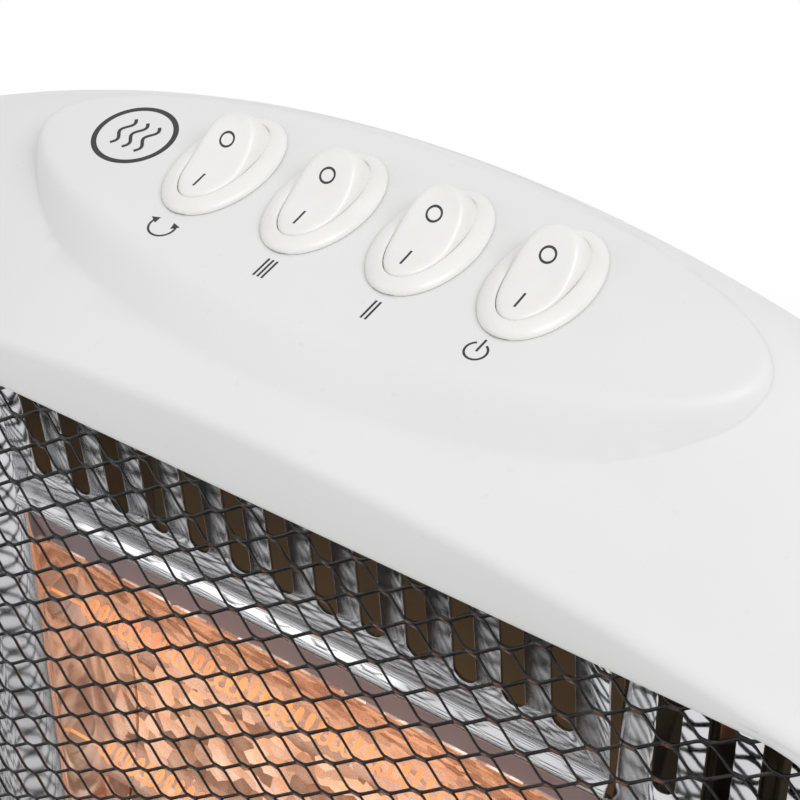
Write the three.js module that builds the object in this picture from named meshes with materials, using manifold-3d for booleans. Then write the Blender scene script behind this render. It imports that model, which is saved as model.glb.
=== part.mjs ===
// Free-standing parabolic quartz heater with an oscillating head, in millimetres.
// +Z is up, the heater faces -Y, +X is on the right when it is seen from the front,
// and the origin is on the floor under the middle of the stand.
import * as THREE from "three";
import { mergeVertices } from "three/addons/utils/BufferGeometryUtils.js";
import Module from "manifold-3d";

const wasm = await Module();
wasm.setup();

// ---------------------------------------------------------------- driving dimensions

const seatGap = 0.3; // left between pieces that touch
const screwPlay = 0.3; // radial play round every screw
const swivelPlay = 0.5; // radial play round the turning column
const roundSegments = 20; // sides of the large turned pieces
const ovalSegments = 14; // sides of the switches' ovals
const wall = 2.5; // moulded housing walls
const sheet = 1.0; // pressed steel and aluminium sheet

// heights of the stand and the neck
const footHeight = 5.7;
const standRim = 3; // lower edge of the stand cover
const standPlate = 2; // thickness of the weight plate
const deckHeight = 48; // top of the stand cover
const neckHeight = 21.5; // visible neck between the stand and the head

// the stand seen from above, half sizes
const standHalfWidth = 134;
const standHalfDepth = 97;

// the window in the front housing
const windowHalfWidth = 130;
const windowHeight = 240;
const windowCorner = 24;
const windowSill = 28; // window's lower edge above the lowest point of the head

// the head
const headHalfWidth = 154;
const faceY = -56; // plane of the window's edge
const partingY = 18; // where the front and rear housings meet
const rearY = 62; // flat back of the rear housing
const faceBow = 4; // how far the middle of the front edge stands before the window
const browHeight = 18.5; // front edge above the window, in the middle
const ridgeRise = 25.5; // top of the head above that front edge
const frontArch = 440; // radius of the arched front edge
const ridgeArch = 380; // radius of the arched top

// the raised control panel on top: an oval, tilted towards the user
const panelTilt = 11.8;
const panelHalfWidth = 83.5;
const panelHalfDepth = 26.5;
const panelShift = -2.3; // the oval's middle, before the row of switches
const panelAboveWindow = 42;
const panelY = -16;

// rocker switches in the panel
const switchPitch = 25;
const switchCount = 4;
const bezelHalfWidth = 10.1;
const bezelHalfLength = 15.8;
const bezelHeight = 2.0;
const rockerHalfWidth = 7.7;
const rockerRadius = 13.9; // ends of the rocker, round its pivot
const rockerFace = 7; // flat top above the pivot
const rockerPivot = -1.9; // pivot below the panel
const rockerTilt = 20; // pressed on the I side at rest
const rockerPlay = 0.4;
const pivotPin = 1.0;

// reflector, its end brackets and the quartz tubes
const reflectorHalfLength = 75.5;
const reflectorSetBack = 4.8; // reflector's top edge behind the window's edge
const stripHeight = 44; // slotted strip above and below the trough
const stripLean = 4.3; // the strip's lower edge lies this far back
const bandHeight = 18;
const bandDepth = 6.7;
const troughDepth = 22.7;
const slotPitch = 10.94;
const slotWidth = 5.2;
const slotLength = 31;
const slotCount = 13;
const wingSlotPitch = 10.35;
const wingSlotCount = 4;
const tubePitch = 46;
const tubeRadius = 5;
const tubeWall = 1;
const tubeHalfLength = 90;
const tubeSetBack = 17.5; // tube axis behind the window's edge
const capRadius = 6.8;
const capLength = 19;
const filamentRadius = 2.4;
const filamentWire = 0.45;
const filamentCurls = 7;

// guard in the window
const guardThickness = 0.8;
const guardBulge = 20;
const guardOverlap = 2; // rim behind the window's edge
const guardMargin = 3.6; // flat margin inside the window's edge
const guardRise = 6; // from there to the bulge's own curve
const guardSwell = 1.55; // power of the bulge's curve up the window, and across it
const guardSwellAcross = 5;
const guardStrand = 1.6;
const guardColumns = 9;
const guardRows = 8;

// swivel
const swivelBore = 18;
const swivelRadius = 26;
const neckRadius = 31;
const shoulderRadius = 36;
const bearingHeight = 2.7;
const crankDistance = 24; // crank axis behind the swivel axis
const swingAngle = 35;
const crankPin = 1.6;
const armThickness = 2.5;

// cable inlet in the back of the stand
const inletRadius = 5;
const inletZ = 17.5;
const inletFace = 93; // floor of its round pocket

// ---------------------------------------------------------------- derived places

const headBottom = deckHeight + neckHeight + 0.5;
const windowBottom = headBottom + windowSill;
const windowTop = windowBottom + windowHeight;
const windowMiddle = (windowBottom + windowTop) / 2;
const panelZ = windowTop + panelAboveWindow;
const frontTop = windowTop + browHeight;
const headTop = frontTop + ridgeRise;
const bossX = windowHalfWidth + 7;
const bossHeights = [windowBottom + 32, windowTop - 53];
const shieldY = -3.7; // front face of the heat shield
const guardY = faceY + wall + seatGap;
const reflectorY = faceY + reflectorSetBack;
const tubeY = faceY + tubeSetBack;
const tubeHeights = [-1, 0, 1].map((k) => windowMiddle + k * tubePitch);
const crankRadius = crankDistance * Math.sin(THREE.MathUtils.degToRad(swingAngle));
const armTop = deckHeight - 3 - seatGap;
const plateTop = footHeight + seatGap + standPlate;
const socketRadius = neckRadius + 8; // round socket under the head
const socketTop = headBottom + 8;

// ---------------------------------------------------------------- materials

const finish = (color, roughness, metalness = 0, extra = {}) =>
  new THREE.MeshStandardMaterial({ color, roughness, metalness, ...extra });
const white = () => finish(0xeceded, 0.35);
const switchWhite = () => finish(0xf3f2ee, 0.25);
const blackSteel = () => finish(0x0c0c0d, 0.25, 0.4);
const polished = () => finish(0xd6d8dc, 0.08, 1);
const zincSteel = () => finish(0x9ea3a8, 0.4, 0.9);
const ceramic = () => finish(0xe6e0d2, 0.6);
const rubber = () => finish(0x1c1c1d, 0.85);
const blackPlastic = () => finish(0x202123, 0.55);
const nylon = () => finish(0xd9d6cc, 0.5);
const glass = () => finish(0xfff3e4, 0.05, 0, { transparent: true, opacity: 0.3 });
const glowing = () => finish(0xff8a2a, 0.4, 0, { emissive: 0xff6a10 });

// ---------------------------------------------------------------- making solids

const root = new THREE.Group();

/** A closed solid of the library that joins and cuts, from a closed geometry. */
function solid(geometry, matrix) {
  const bare = geometry.clone();
  bare.deleteAttribute("normal");
  bare.deleteAttribute("uv");
  if (matrix) bare.applyMatrix4(matrix);
  const merged = mergeVertices(bare, 1e-4);
  return new wasm.Manifold(new wasm.Mesh({
    numProp: 3,
    vertProperties: new Float32Array(merged.attributes.position.array),
    triVerts: new Uint32Array(merged.index.array),
  }));
}

function geometryOf(body) {
  const mesh = body.asOriginal().simplify(0.01).getMesh();
  const geometry = new THREE.BufferGeometry();
  geometry.setAttribute("position", new THREE.BufferAttribute(mesh.vertProperties, 3));
  geometry.setIndex(new THREE.BufferAttribute(mesh.triVerts, 1));
  geometry.computeVertexNormals();
  return geometry;
}

/** Adds a named piece to a group. */
function piece(name, shape, material, parent = root) {
  const geometry = shape.isBufferGeometry ? shape : geometryOf(shape);
  const mesh = new THREE.Mesh(geometry, material);
  mesh.name = name;
  parent.add(mesh);
  return mesh;
}

const shift = (x, y, z) => new THREE.Matrix4().makeTranslation(x, y, z);
const join = (first, ...others) => others.reduce((all, next) => all.add(next), first);
const cut = (first, ...others) => others.reduce((all, next) => all.subtract(next), first);

/** Joins rings of points into a closed skin: capped at both ends, or looped back. */
function loft(rings, looped = false) {
  const count = rings[0].length;
  const points = rings.flat().map((p) => [p.x, p.y, p.z]);
  const faces = [];
  const bands = looped ? rings.length : rings.length - 1;
  for (let r = 0; r < bands; r++) {
    const a = r * count;
    const b = ((r + 1) % rings.length) * count;
    for (let i = 0; i < count; i++) {
      const j = (i + 1) % count;
      faces.push([a + i, a + j, b + j], [a + i, b + j, b + i]);
    }
  }
  if (!looped) {
    for (const [ring, base, flip] of [[rings[0], 0, true], [rings.at(-1), (rings.length - 1) * count, false]]) {
      const middle = ring.reduce((sum, p) => sum.add(p), new THREE.Vector3()).divideScalar(count);
      const hub = points.push([middle.x, middle.y, middle.z]) - 1;
      for (let i = 0; i < count; i++) {
        const j = (i + 1) % count;
        faces.push(flip ? [hub, base + j, base + i] : [hub, base + i, base + j]);
      }
    }
  }
  return outward(points, faces);
}

/** Indexed geometry whose faces point out, whichever way the rings ran. */
function outward(points, faces) {
  const corner = (k) => new THREE.Vector3(...points[k]);
  const volume = faces.reduce((sum, [a, b, c]) => sum + corner(a).dot(corner(b).cross(corner(c))), 0);
  const turned = volume < 0 ? faces.map(([a, b, c]) => [a, c, b]) : faces;
  const geometry = new THREE.BufferGeometry();
  geometry.setAttribute("position", new THREE.Float32BufferAttribute(points.flat(), 3));
  geometry.setIndex(turned.flat());
  geometry.computeVertexNormals();
  return geometry;
}

/** A turned part about the Z axis; profile holds [radius, height] pairs. */
function turned(profile, segments, looped = false) {
  const points = profile.map(([radius, height]) => new THREE.Vector2(radius, height));
  if (looped) points.push(points[0].clone());
  return new THREE.LatheGeometry(points, segments).rotateX(Math.PI / 2);
}

const rod = (radius, low, high, segments = 16) =>
  turned([[0, low], [radius, low], [radius, high], [0, high]], segments);

/** Stack of ovals along Z; levels hold [half width, half depth, height, depth shift]. */
function ovals(levels, segments, looped = false, squareness = 2) {
  const rings = levels.map(([halfWidth, halfDepth, height, offset = 0]) => {
    const ring = [];
    for (let i = 0; i < segments; i++) {
      const angle = (2 * Math.PI * i) / segments;
      const power = 2 / squareness;
      const x = halfWidth * Math.sign(Math.cos(angle)) * Math.abs(Math.cos(angle)) ** power;
      const y = halfDepth * Math.sign(Math.sin(angle)) * Math.abs(Math.sin(angle)) ** power;
      ring.push(new THREE.Vector3(x, y + offset, height));
    }
    return ring;
  });
  return loft(rings, looped);
}

/** Flat outline pushed out along its normal. */
const extrude = (shape, depth, curveSegments = 6) =>
  new THREE.ExtrudeGeometry(shape, { depth, bevelEnabled: false, curveSegments });

/** Puts an outline drawn in X and Z upright; the extrusion then runs along -Y. */
const upright = (y) => shift(0, y, 0).multiply(new THREE.Matrix4().makeRotationX(Math.PI / 2));

/** Puts an outline drawn in Y and Z across; the extrusion then runs along +X. */
const across = (x) => shift(x, 0, 0).multiply(new THREE.Matrix4().makeBasis(
  new THREE.Vector3(0, 1, 0), new THREE.Vector3(0, 0, 1), new THREE.Vector3(1, 0, 0)));

/** Outline of a strip of sheet bent along a line of points. */
function bentStrip(line, thickness) {
  const sides = [[], []];
  line.forEach((point, i) => {
    const before = line[Math.max(i - 1, 0)];
    const after = line[Math.min(i + 1, line.length - 1)];
    const along = after.clone().sub(before).normalize();
    const normal = new THREE.Vector2(-along.y, along.x).multiplyScalar(thickness / 2);
    sides[0].push(point.clone().add(normal));
    sides[1].unshift(point.clone().sub(normal));
  });
  return new THREE.Shape([...sides[0], ...sides[1]]);
}

// ---------------------------------------------------------------- the head's outlines

/** Closed outline of the head at one depth: arched top, rounded corners, keeled bottom. */
function headRing({ half, top, bottom, crown, keel, corner, y, bow = 0 }) {
  const right = [];
  const upper = (x) => top - crown * (x / half) ** 2;
  const lower = (x) => bottom + keel * (x / half) ** 2;
  const inner = half - corner;
  const topSteps = 5;
  const cornerSteps = 3;
  for (let i = 0; i < topSteps; i++) right.push([(inner * i) / topSteps, upper((inner * i) / topSteps)]);
  const turn = (from, slope, to, steps) => {
    const drop = from[1] - to[1];
    const curve = new THREE.CubicBezierCurve(
      new THREE.Vector2(...from),
      new THREE.Vector2(from[0] + 0.55 * corner, from[1] + 0.55 * corner * slope),
      new THREE.Vector2(to[0], to[1] + 0.55 * drop),
      new THREE.Vector2(...to));
    return curve.getPoints(steps).map((p) => [p.x, p.y]);
  };
  const shoulder = turn([inner, upper(inner)], (-2 * crown * inner) / half ** 2,
    [half, top - crown - corner], cornerSteps);
  const foot = turn([inner, lower(inner)], (2 * keel * inner) / half ** 2,
    [half, bottom + keel + corner], cornerSteps).reverse();
  right.push(...shoulder);
  right.push([half, (shoulder.at(-1)[1] + foot[0][1]) / 2]);
  right.push(...foot);
  for (let i = topSteps - 1; i > 0; i--) right.push([(inner * i) / topSteps, lower((inner * i) / topSteps)]);
  right.push([0, bottom]);
  const left = right.slice(1, -1).reverse().map(([x, z]) => [-x, z]);
  return [...right, ...left].map(([x, z]) => new THREE.Vector3(x, y + bow * (x / half) ** 2, z));
}

const openingRing = (y, grow = 0) => headRing({
  half: windowHalfWidth + grow, top: windowTop + grow, bottom: windowBottom - grow,
  crown: 0, keel: 0, corner: windowCorner + grow, y,
});

/** Outline of the front housing at t = 0 (front edge) to 1 (parting line), drawn in by inset. */
function frontRing(t, inset = 0) {
  const swell = Math.sqrt(1 - (1 - t) ** 2);
  const rise = -1.4 * t ** 3 + 1.8 * t ** 2 + 0.6 * t;
  const frontHalf = windowHalfWidth + 12;
  const half = frontHalf + (headHalfWidth - frontHalf) * swell;
  const arch = frontArch + (ridgeArch - frontArch) * t;
  return headRing({
    half: half - inset,
    top: frontTop + ridgeRise * rise - inset,
    bottom: windowBottom - windowSill / 2 - (windowSill / 2) * swell + inset,
    crown: half ** 2 / (2 * arch),
    keel: 6 + 6 * t,
    corner: 18 + 34 * t - inset / 2,
    y: faceY - faceBow + (partingY - faceY + faceBow) * t + inset * (1 - t),
    bow: faceBow * (1 - t) * 0.9,
  });
}

/** Outline of the rear housing at a turn of 0 (parting line) to 90 degrees (flat back). */
function rearRing(angle, inset = 0) {
  const turn = THREE.MathUtils.degToRad(angle);
  const draw = 1 - Math.cos(turn);
  const half = headHalfWidth - 60 * draw;
  return headRing({
    half: half - inset,
    top: headTop - 46 * draw - inset,
    bottom: headBottom + 46 * draw + inset,
    crown: (headHalfWidth ** 2 / (2 * ridgeArch)) * (half / headHalfWidth) ** 2,
    keel: 12 * (half / headHalfWidth),
    corner: 52 - 20 * draw - inset / 2,
    y: partingY + seatGap + (rearY - partingY - seatGap - inset) * Math.sin(turn),
  });
}

// ---------------------------------------------------------------- the panel's frame

const panelMatrix = shift(0, panelY, panelZ).multiply(
  new THREE.Matrix4().makeRotationX(THREE.MathUtils.degToRad(panelTilt)));
const panelGroup = new THREE.Group();
panelGroup.position.set(0, panelY, panelZ);
panelGroup.rotation.x = THREE.MathUtils.degToRad(panelTilt);
root.add(panelGroup);
const switchX = Array.from({ length: switchCount }, (_, i) => (i - (switchCount - 1) / 2) * switchPitch);

/** The raised oval panel as a solid, drawn in by inset; its front wall leans outwards. */
function panelSolid(inset) {
  const level = (grow, height, lean) => [
    panelHalfWidth + grow - inset, panelHalfDepth + grow + lean - inset, height, panelShift - lean];
  const top = inset;
  return solid(ovals([
    level(1.5, -34, 5.5),
    level(1.0, -17, 2.8),
    level(0, -1.6 - top, 0),
    level(-0.4, -0.5 - top, 0),
    level(-1.3, -top, 0),
  ], 26), panelMatrix);
}

// ---------------------------------------------------------------- housings

/** Round bar or bore along Y between two depths. */
function alongY(x, z, radius, from, to, segments = 8) {
  return solid(rod(radius, -to, -from, segments), shift(x, 0, z).multiply(
    new THREE.Matrix4().makeRotationX(Math.PI / 2)));
}

const bossPlaces = bossHeights.flatMap((z) => [[-bossX, z], [bossX, z]]);

const frontSteps = [0, 0.04, 0.16, 0.38, 0.66, 1];

/** The hollow of the front housing, drawn in by inset. */
function frontHollow(inset) {
  return solid(loft([
    openingRing(faceY + inset, 3),
    ...frontSteps.filter((_, i) => i % 2 === 0).map((t) => frontRing(t, inset)),
    frontRing(1, inset).map((p) => p.clone().setY(partingY + 1)),
  ]));
}

function frontHousing() {
  const lip = openingRing(faceY - 1.6, 3).map((p, i) => p.lerp(frontRing(0)[i], 0.05));
  const outer = solid(loft([openingRing(faceY), lip, ...frontSteps.map((t) => frontRing(t))]));
  const inner = frontHollow(wall);
  const window = solid(loft([openingRing(faceY - 20), openingRing(faceY + 20)]));
  const bosses = bossPlaces.map(([x, z]) => alongY(x, z, 4.5, faceY - 2, shieldY - seatGap).intersect(outer));
  const bossHoles = bossPlaces.map(([x, z]) => alongY(x, z, 1.5 + screwPlay, -38, shieldY));
  const socket = solid(rod(socketRadius, headBottom, socketTop, roundSegments));
  const neckHole = solid(rod(neckRadius - 3, headBottom - 5, socketTop + 5, roundSegments));
  const shell = cut(outer, inner, panelSolid(-seatGap), window);
  return cut(join(shell, socket, ...bosses), ...bossHoles, neckHole);
}

/** Oval control panel: its skirt stands in the oval hole in the top of the housing. */
function controlPanel() {
  const skirtDepth = 4;
  const switchHoles = switchX.map((x) => solid(
    ovals([[9.5, 15.3, -8], [9.5, 15.3, 4]], ovalSegments),
    panelMatrix.clone().multiply(shift(x, 0, 0))));
  const mouth = solid(loft([openingRing(faceY - 20), openingRing(faceY + 20)]));
  return cut(panelSolid(0), panelSolid(wall), frontHollow(wall + skirtDepth), mouth, ...switchHoles);
}

const handle = { halfWidth: 54, low: headTop - 84, high: headTop - 56, depth: 25 };
const cupWall = 2.2;
const cupPlay = 1.2; // round the cup in its hole, under its rim

function roundedBox(halfWidth, low, high, radius) {
  const shape = new THREE.Shape();
  shape.moveTo(-halfWidth + radius, low);
  shape.lineTo(halfWidth - radius, low);
  shape.absarc(halfWidth - radius, low + radius, radius, -Math.PI / 2, 0);
  shape.lineTo(halfWidth, high - radius);
  shape.absarc(halfWidth - radius, high - radius, radius, 0, Math.PI / 2);
  shape.lineTo(-halfWidth + radius, high);
  shape.absarc(-halfWidth + radius, high - radius, radius, Math.PI / 2, Math.PI);
  shape.lineTo(-halfWidth, low + radius);
  shape.absarc(-halfWidth + radius, low + radius, radius, Math.PI, 1.5 * Math.PI);
  return shape;
}

/** Rows of air slots through the back, in three columns. */
function louvres() {
  const cutters = [];
  const rowPitch = 10;
  for (const [base, rows] of [[windowBottom + 26, 4], [windowBottom + 112, 3]]) {
    for (let row = 0; row < rows; row++) {
      for (const column of [-1, 0, 1]) {
        const z = base + row * rowPitch;
        cutters.push(solid(new THREE.BoxGeometry(34, 20, 4), shift(column * 40, rearY - 5, z)));
      }
    }
  }
  return cutters;
}

function rearHousing() {
  const turns = [0, 22, 44, 66, 81, 90];
  const outer = solid(loft(turns.map((a) => rearRing(a))));
  const innerRings = [0, 33, 63, 90].map((a) => rearRing(a, wall));
  const mouth = rearRing(0, wall).map((p) => p.clone().setY(partingY - 1));
  const inner = solid(loft([mouth, ...innerRings]));
  const cupHole = cupBlock(cupWall + cupPlay, 20, 20);
  const bossStart = shieldY + sheet + 2 * seatGap;
  const bosses = bossPlaces.map(([x, z]) => join(
    alongY(x, z, 5.5, bossStart, 30), alongY(x, z, 5.5, 29, rearY).intersect(outer)));
  const shanks = bossPlaces.map(([x, z]) => alongY(x, z, 1.5 + screwPlay, bossStart - 1, 60));
  const counterbores = bossPlaces.map(([x, z]) => alongY(x, z, 3.6, 26, 70));
  const shell = join(cut(outer, inner), ...bosses);
  const notch = solid(rod(socketRadius + seatGap, headBottom - 5, socketTop + 7, roundSegments));
  return cut(shell, cupHole, notch, ...louvres(), ...shanks, ...counterbores);
}

/** Rounded block round the handle's hollow, from a depth in the back to beyond it. */
function cupBlock(grow, inwards, outwards) {
  const { halfWidth, low, high } = handle;
  return solid(extrude(roundedBox(halfWidth + grow, low - grow, high + grow, 6 + grow), inwards + outwards, 3),
    upright(rearY + outwards));
}

/** Carry handle: a deep cup clipped into the back, with a flat rim outside. */
function handleCup() {
  const { depth } = handle;
  const rimWidth = 4.6;
  const rim = cut(cupBlock(rimWidth, 0, 1.5), cupBlock(rimWidth + 1, 0, seatGap));
  const cup = cupBlock(cupWall, depth + cupWall, 1.5);
  return cut(join(cup, rim), cupBlock(0, depth, 20));
}

/** Case screw from the back, through the heat shield into the front housing. */
function caseScrew() {
  return turned([[0, -28.3], [2.6, -28.3], [3.3, -27.6], [3.3, -26.3], [1.5, -26.3], [1.5, 33], [0, 34]], 8);
}

// ---------------------------------------------------------------- switches

/** Switch body: domed oval bezel, well for the rocker, and the box with its blades below. */
function switchBody() {
  const wellWidth = rockerHalfWidth + rockerPlay + 0.2;
  const wellLength = rockerRadius + rockerPlay;
  const body = solid(ovals([
    [wellWidth + 0.9, wellLength + 0.8, -17],
    [wellWidth + 0.9, wellLength + 0.8, seatGap],
    [bezelHalfWidth, bezelHalfLength, seatGap],
    [bezelHalfWidth - 0.3, bezelHalfLength - 0.3, 1.3],
    [wellWidth + 0.6, wellLength + 0.6, bezelHeight],
    [wellWidth + 0.1, wellLength + 0.1, bezelHeight - 0.2],
    [wellWidth, wellLength, -8],
    [wellWidth - 2, wellLength - 5, -12],
  ], ovalSegments));
  const pinHoles = solid(rod(pivotPin + 0.3, -bezelHalfWidth, bezelHalfWidth, 8),
    shift(0, 0, rockerPivot).multiply(new THREE.Matrix4().makeRotationY(Math.PI / 2)));
  const blades = [-8, 0, 8].map((y) => solid(new THREE.BoxGeometry(4.8, 0.8, 9), shift(0, y, -21)));
  return cut(join(body, ...blades), pinHoles);
}

/** Rocker: flat oval face over ovals whose length follows a circle round the pivot. */
function rocker() {
  const level = (height, width) => [width, Math.sqrt(rockerRadius ** 2 - height ** 2), height];
  const face = level(rockerFace, rockerHalfWidth - 0.5);
  const key = solid(ovals([
    level(-3.2, rockerHalfWidth - 0.4),
    level(0, rockerHalfWidth),
    level(3.5, rockerHalfWidth - 0.1),
    level(rockerFace - 1.2, rockerHalfWidth - 0.35),
    [face[0] - 0.35, face[1] - 0.35, rockerFace - 0.3],
    [face[0] - 1.2, face[1] - 1.2, rockerFace],
  ], ovalSegments));
  const pins = solid(rod(pivotPin, -rockerHalfWidth - 1.2, rockerHalfWidth + 1.2, 8),
    new THREE.Matrix4().makeRotationY(Math.PI / 2));
  return key.add(pins);
}

// ---------------------------------------------------------------- guard, reflector, tubes

/** Bulge of the guard at a place in the window: none along the edge, full in the middle. */
function bulgeAt(x, z) {
  const across = Math.min(Math.abs(x) / windowHalfWidth, 1);
  const along = Math.min(Math.abs(z - windowMiddle) / (windowHeight / 2), 1);
  const overX = Math.abs(x) - (windowHalfWidth - windowCorner);
  const overZ = Math.abs(z - windowMiddle) - (windowHeight / 2 - windowCorner);
  const round = Math.hypot(Math.max(overX, 0), Math.max(overZ, 0));
  const inside = windowCorner - round - Math.min(Math.max(overX, overZ), 0);
  const fromEdge = THREE.MathUtils.clamp((inside - guardMargin) / guardRise, 0, 1);
  return guardBulge * (1 - across ** guardSwellAcross) * (1 - along ** guardSwell) * fromEdge;
}

/** Net of staggered diamonds in a flat rim, then bulged forwards. */
function guard() {
  const halfWidth = windowHalfWidth + guardOverlap;
  const halfHeight = windowHeight / 2 + guardOverlap;
  const outline = roundedBox(halfWidth, windowMiddle - halfHeight, windowMiddle + halfHeight,
    windowCorner + guardOverlap);
  const pitchX = (2 * windowHalfWidth - 4) / guardColumns;
  const pitchZ = (windowHeight - 4) / guardRows;
  for (let row = 1; row < 2 * guardRows; row++) {
    const shiftX = row % 2 === 1 ? 0.5 : 1;
    const columns = row % 2 === 1 ? guardColumns : guardColumns - 1;
    for (let column = 0; column < columns; column++) {
      const x = (column + shiftX - guardColumns / 2) * pitchX;
      const z = windowMiddle + (row / 2 - guardRows / 2) * pitchZ;
      const diamond = new THREE.Path([
        new THREE.Vector2(x - pitchX / 2 + guardStrand, z),
        new THREE.Vector2(x, z - pitchZ / 2 + guardStrand),
        new THREE.Vector2(x + pitchX / 2 - guardStrand, z),
        new THREE.Vector2(x, z + pitchZ / 2 - guardStrand),
      ]);
      outline.holes.push(diamond);
    }
  }
  const net = extrude(outline, guardThickness, 4);
  net.applyMatrix4(upright(guardY + guardThickness));
  const place = net.attributes.position;
  for (let i = 0; i < place.count; i++) {
    place.setY(i, place.getY(i) - bulgeAt(place.getX(i), place.getZ(i)));
  }
  const lip = cut(
    solid(loft([openingRing(guardY - 12, 12), openingRing(guardY, 12)])),
    solid(loft([openingRing(guardY - 20, -seatGap), openingRing(guardY + 20, -seatGap)])));
  return cut(solid(net), lip);
}

/** Reflector's section from the top edge to the bottom edge, as points of Y and Z. */
function reflectorLine() {
  const top = windowMiddle + windowHeight / 2 + 6;
  const railZ = top - stripHeight;
  const troughTop = railZ - bandHeight;
  const railY = reflectorY + stripLean;
  const troughY = railY + bandDepth;
  const half = troughTop - windowMiddle;
  const upper = [[reflectorY, top], [railY - 0.1, railZ + 1], [railY - 1.9, railZ - 0.4], [railY - 1.3, railZ - 2.4],
    [railY + 0.6, railZ - 3.2]];
  const steps = 8;
  const trough = Array.from({ length: steps + 1 }, (_, i) => {
    const z = half * (1 - (2 * i) / steps);
    return [troughY + troughDepth * (1 - (z / half) ** 2), windowMiddle + z];
  });
  const lower = upper.map(([y, z]) => [y, 2 * windowMiddle - z]).reverse();
  return [...upper, ...trough, ...lower].map(([y, z]) => new THREE.Vector2(y, z));
}

/** One air slot: square at its outer end, round at its inner end. */
function slotShape(x, up) {
  const outer = windowMiddle + up * (windowHeight / 2 + 3);
  const inner = outer - up * slotLength;
  const half = slotWidth / 2;
  const shape = new THREE.Shape();
  shape.moveTo(x - half, outer);
  shape.lineTo(x + half, outer);
  shape.lineTo(x + half, inner + up * half);
  shape.absarc(x, inner + up * half, half, 0, Math.PI, up > 0);
  shape.closePath();
  return shape;
}

const slotCutter = (x, up) => solid(extrude(slotShape(x, up), 30, 2), upright(reflectorY + 14));

function reflector() {
  const trough = solid(extrude(bentStrip(reflectorLine(), sheet), 2 * reflectorHalfLength),
    across(-reflectorHalfLength));
  const cutters = [];
  for (const up of [-1, 1]) {
    for (let i = 0; i < slotCount; i++) cutters.push(slotCutter((i - (slotCount - 1) / 2) * slotPitch, up));
  }
  return cut(trough, ...cutters);
}

/** End bracket: foot on the heat shield, wall that carries the tubes, slotted wing. */
function endBracket(side) {
  const wallX = reflectorHalfLength + seatGap + sheet / 2;
  const footY = shieldY - seatGap - sheet / 2;
  const line = [
    [wallX + 16, footY], [wallX + 1, footY], [wallX, footY - 1], [wallX, faceY + 9.5],
    [wallX + 1.2, faceY + 8.6], [wallX + 9.5, faceY + 5.4], [wallX + 11, faceY + 5], [windowHalfWidth + 1, faceY + 4.6],
  ].map(([x, y]) => new THREE.Vector2(side * x, y));
  const height = windowHeight + 8;
  const bracket = solid(extrude(bentStrip(line, sheet), height), shift(0, 0, windowMiddle - height / 2));
  const tubeHoles = tubeHeights.map((z) => solid(rod(tubeRadius + seatGap, -10, 10, 16),
    shift(side * wallX, tubeY, z).multiply(new THREE.Matrix4().makeRotationY(Math.PI / 2))));
  const wingStart = wallX + 12.2;
  const slots = [];
  for (const up of [-1, 1]) {
    for (let i = 0; i < wingSlotCount; i++) slots.push(slotCutter(side * (wingStart + i * wingSlotPitch), up));
  }
  const reach = solid(loft([openingRing(faceY - 5, 3), openingRing(partingY, 3)]));
  return cut(bracket.intersect(reach), ...tubeHoles, ...slots);
}

const lengthwise = (z) => shift(0, tubeY, z).multiply(new THREE.Matrix4().makeRotationY(Math.PI / 2));

const quartzTube = () => turned([
  [tubeRadius - tubeWall, -tubeHalfLength], [tubeRadius, -tubeHalfLength],
  [tubeRadius, tubeHalfLength], [tubeRadius - tubeWall, tubeHalfLength]], 14, true);

/** Ceramic end cap: bore for the tube, small bore for the lead, neck for its holder. */
function endCap() {
  const start = reflectorHalfLength + sheet + 2 * seatGap;
  const bore = tubeHalfLength + seatGap;
  const end = start + capLength;
  return turned([
    [tubeRadius + seatGap, start], [capRadius, start], [capRadius, start + 6], [capRadius - 1, start + 7],
    [capRadius - 1, end],
    [1, end], [1, bore], [tubeRadius + seatGap, bore]], 10, true);
}

/** Heating coil: one wire along the tube, straight at both ends and curled between them. */
function filament() {
  const stepsPerCurl = 8;
  const sides = 5;
  const curlSpan = 2 * (reflectorHalfLength - 6);
  const leadEnd = tubeHalfLength + 1.5;
  const total = filamentCurls * stepsPerCurl;
  const path = [[-leadEnd, 0, 0]];
  for (let i = 0; i <= total; i++) {
    const swell = Math.min(1, i / stepsPerCurl, (total - i) / stepsPerCurl);
    path.push([-curlSpan / 2 + (curlSpan * i) / total, filamentRadius * swell, (2 * Math.PI * i) / stepsPerCurl]);
  }
  path.push([leadEnd, 0, 0]);
  const centres = path.map(([x, radius, angle]) =>
    new THREE.Vector3(x, radius * Math.cos(angle), radius * Math.sin(angle)));
  printLeastGap(centres, stepsPerCurl);
  const rings = centres.map((centre, i) => {
    const before = centres[Math.max(i - 1, 0)];
    const after = centres[Math.min(i + 1, centres.length - 1)];
    const along = after.clone().sub(before).normalize();
    const angle = path[i][2];
    const radial = new THREE.Vector3(0, Math.cos(angle), Math.sin(angle));
    radial.addScaledVector(along, -radial.dot(along)).normalize();
    const side = along.clone().cross(radial);
    return Array.from({ length: sides }, (_, k) => {
      const turn = (2 * Math.PI * k) / sides;
      return centre.clone()
        .addScaledVector(radial, filamentWire * Math.cos(turn))
        .addScaledVector(side, filamentWire * Math.sin(turn));
    });
  });
  return loft(rings);
}

/** Smallest gap between the wire and itself, a curl or more further on. */
function printLeastGap(centres, stepsPerCurl) {
  let least = Infinity;
  for (let i = 0; i < centres.length; i++) {
    for (let j = i + stepsPerCurl - 2; j < centres.length; j++) {
      least = Math.min(least, centres[i].distanceTo(centres[j]) - 2 * filamentWire);
    }
  }
  console.log(`least gap in the heating coil: ${least.toFixed(2)} mm`);
}

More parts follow.
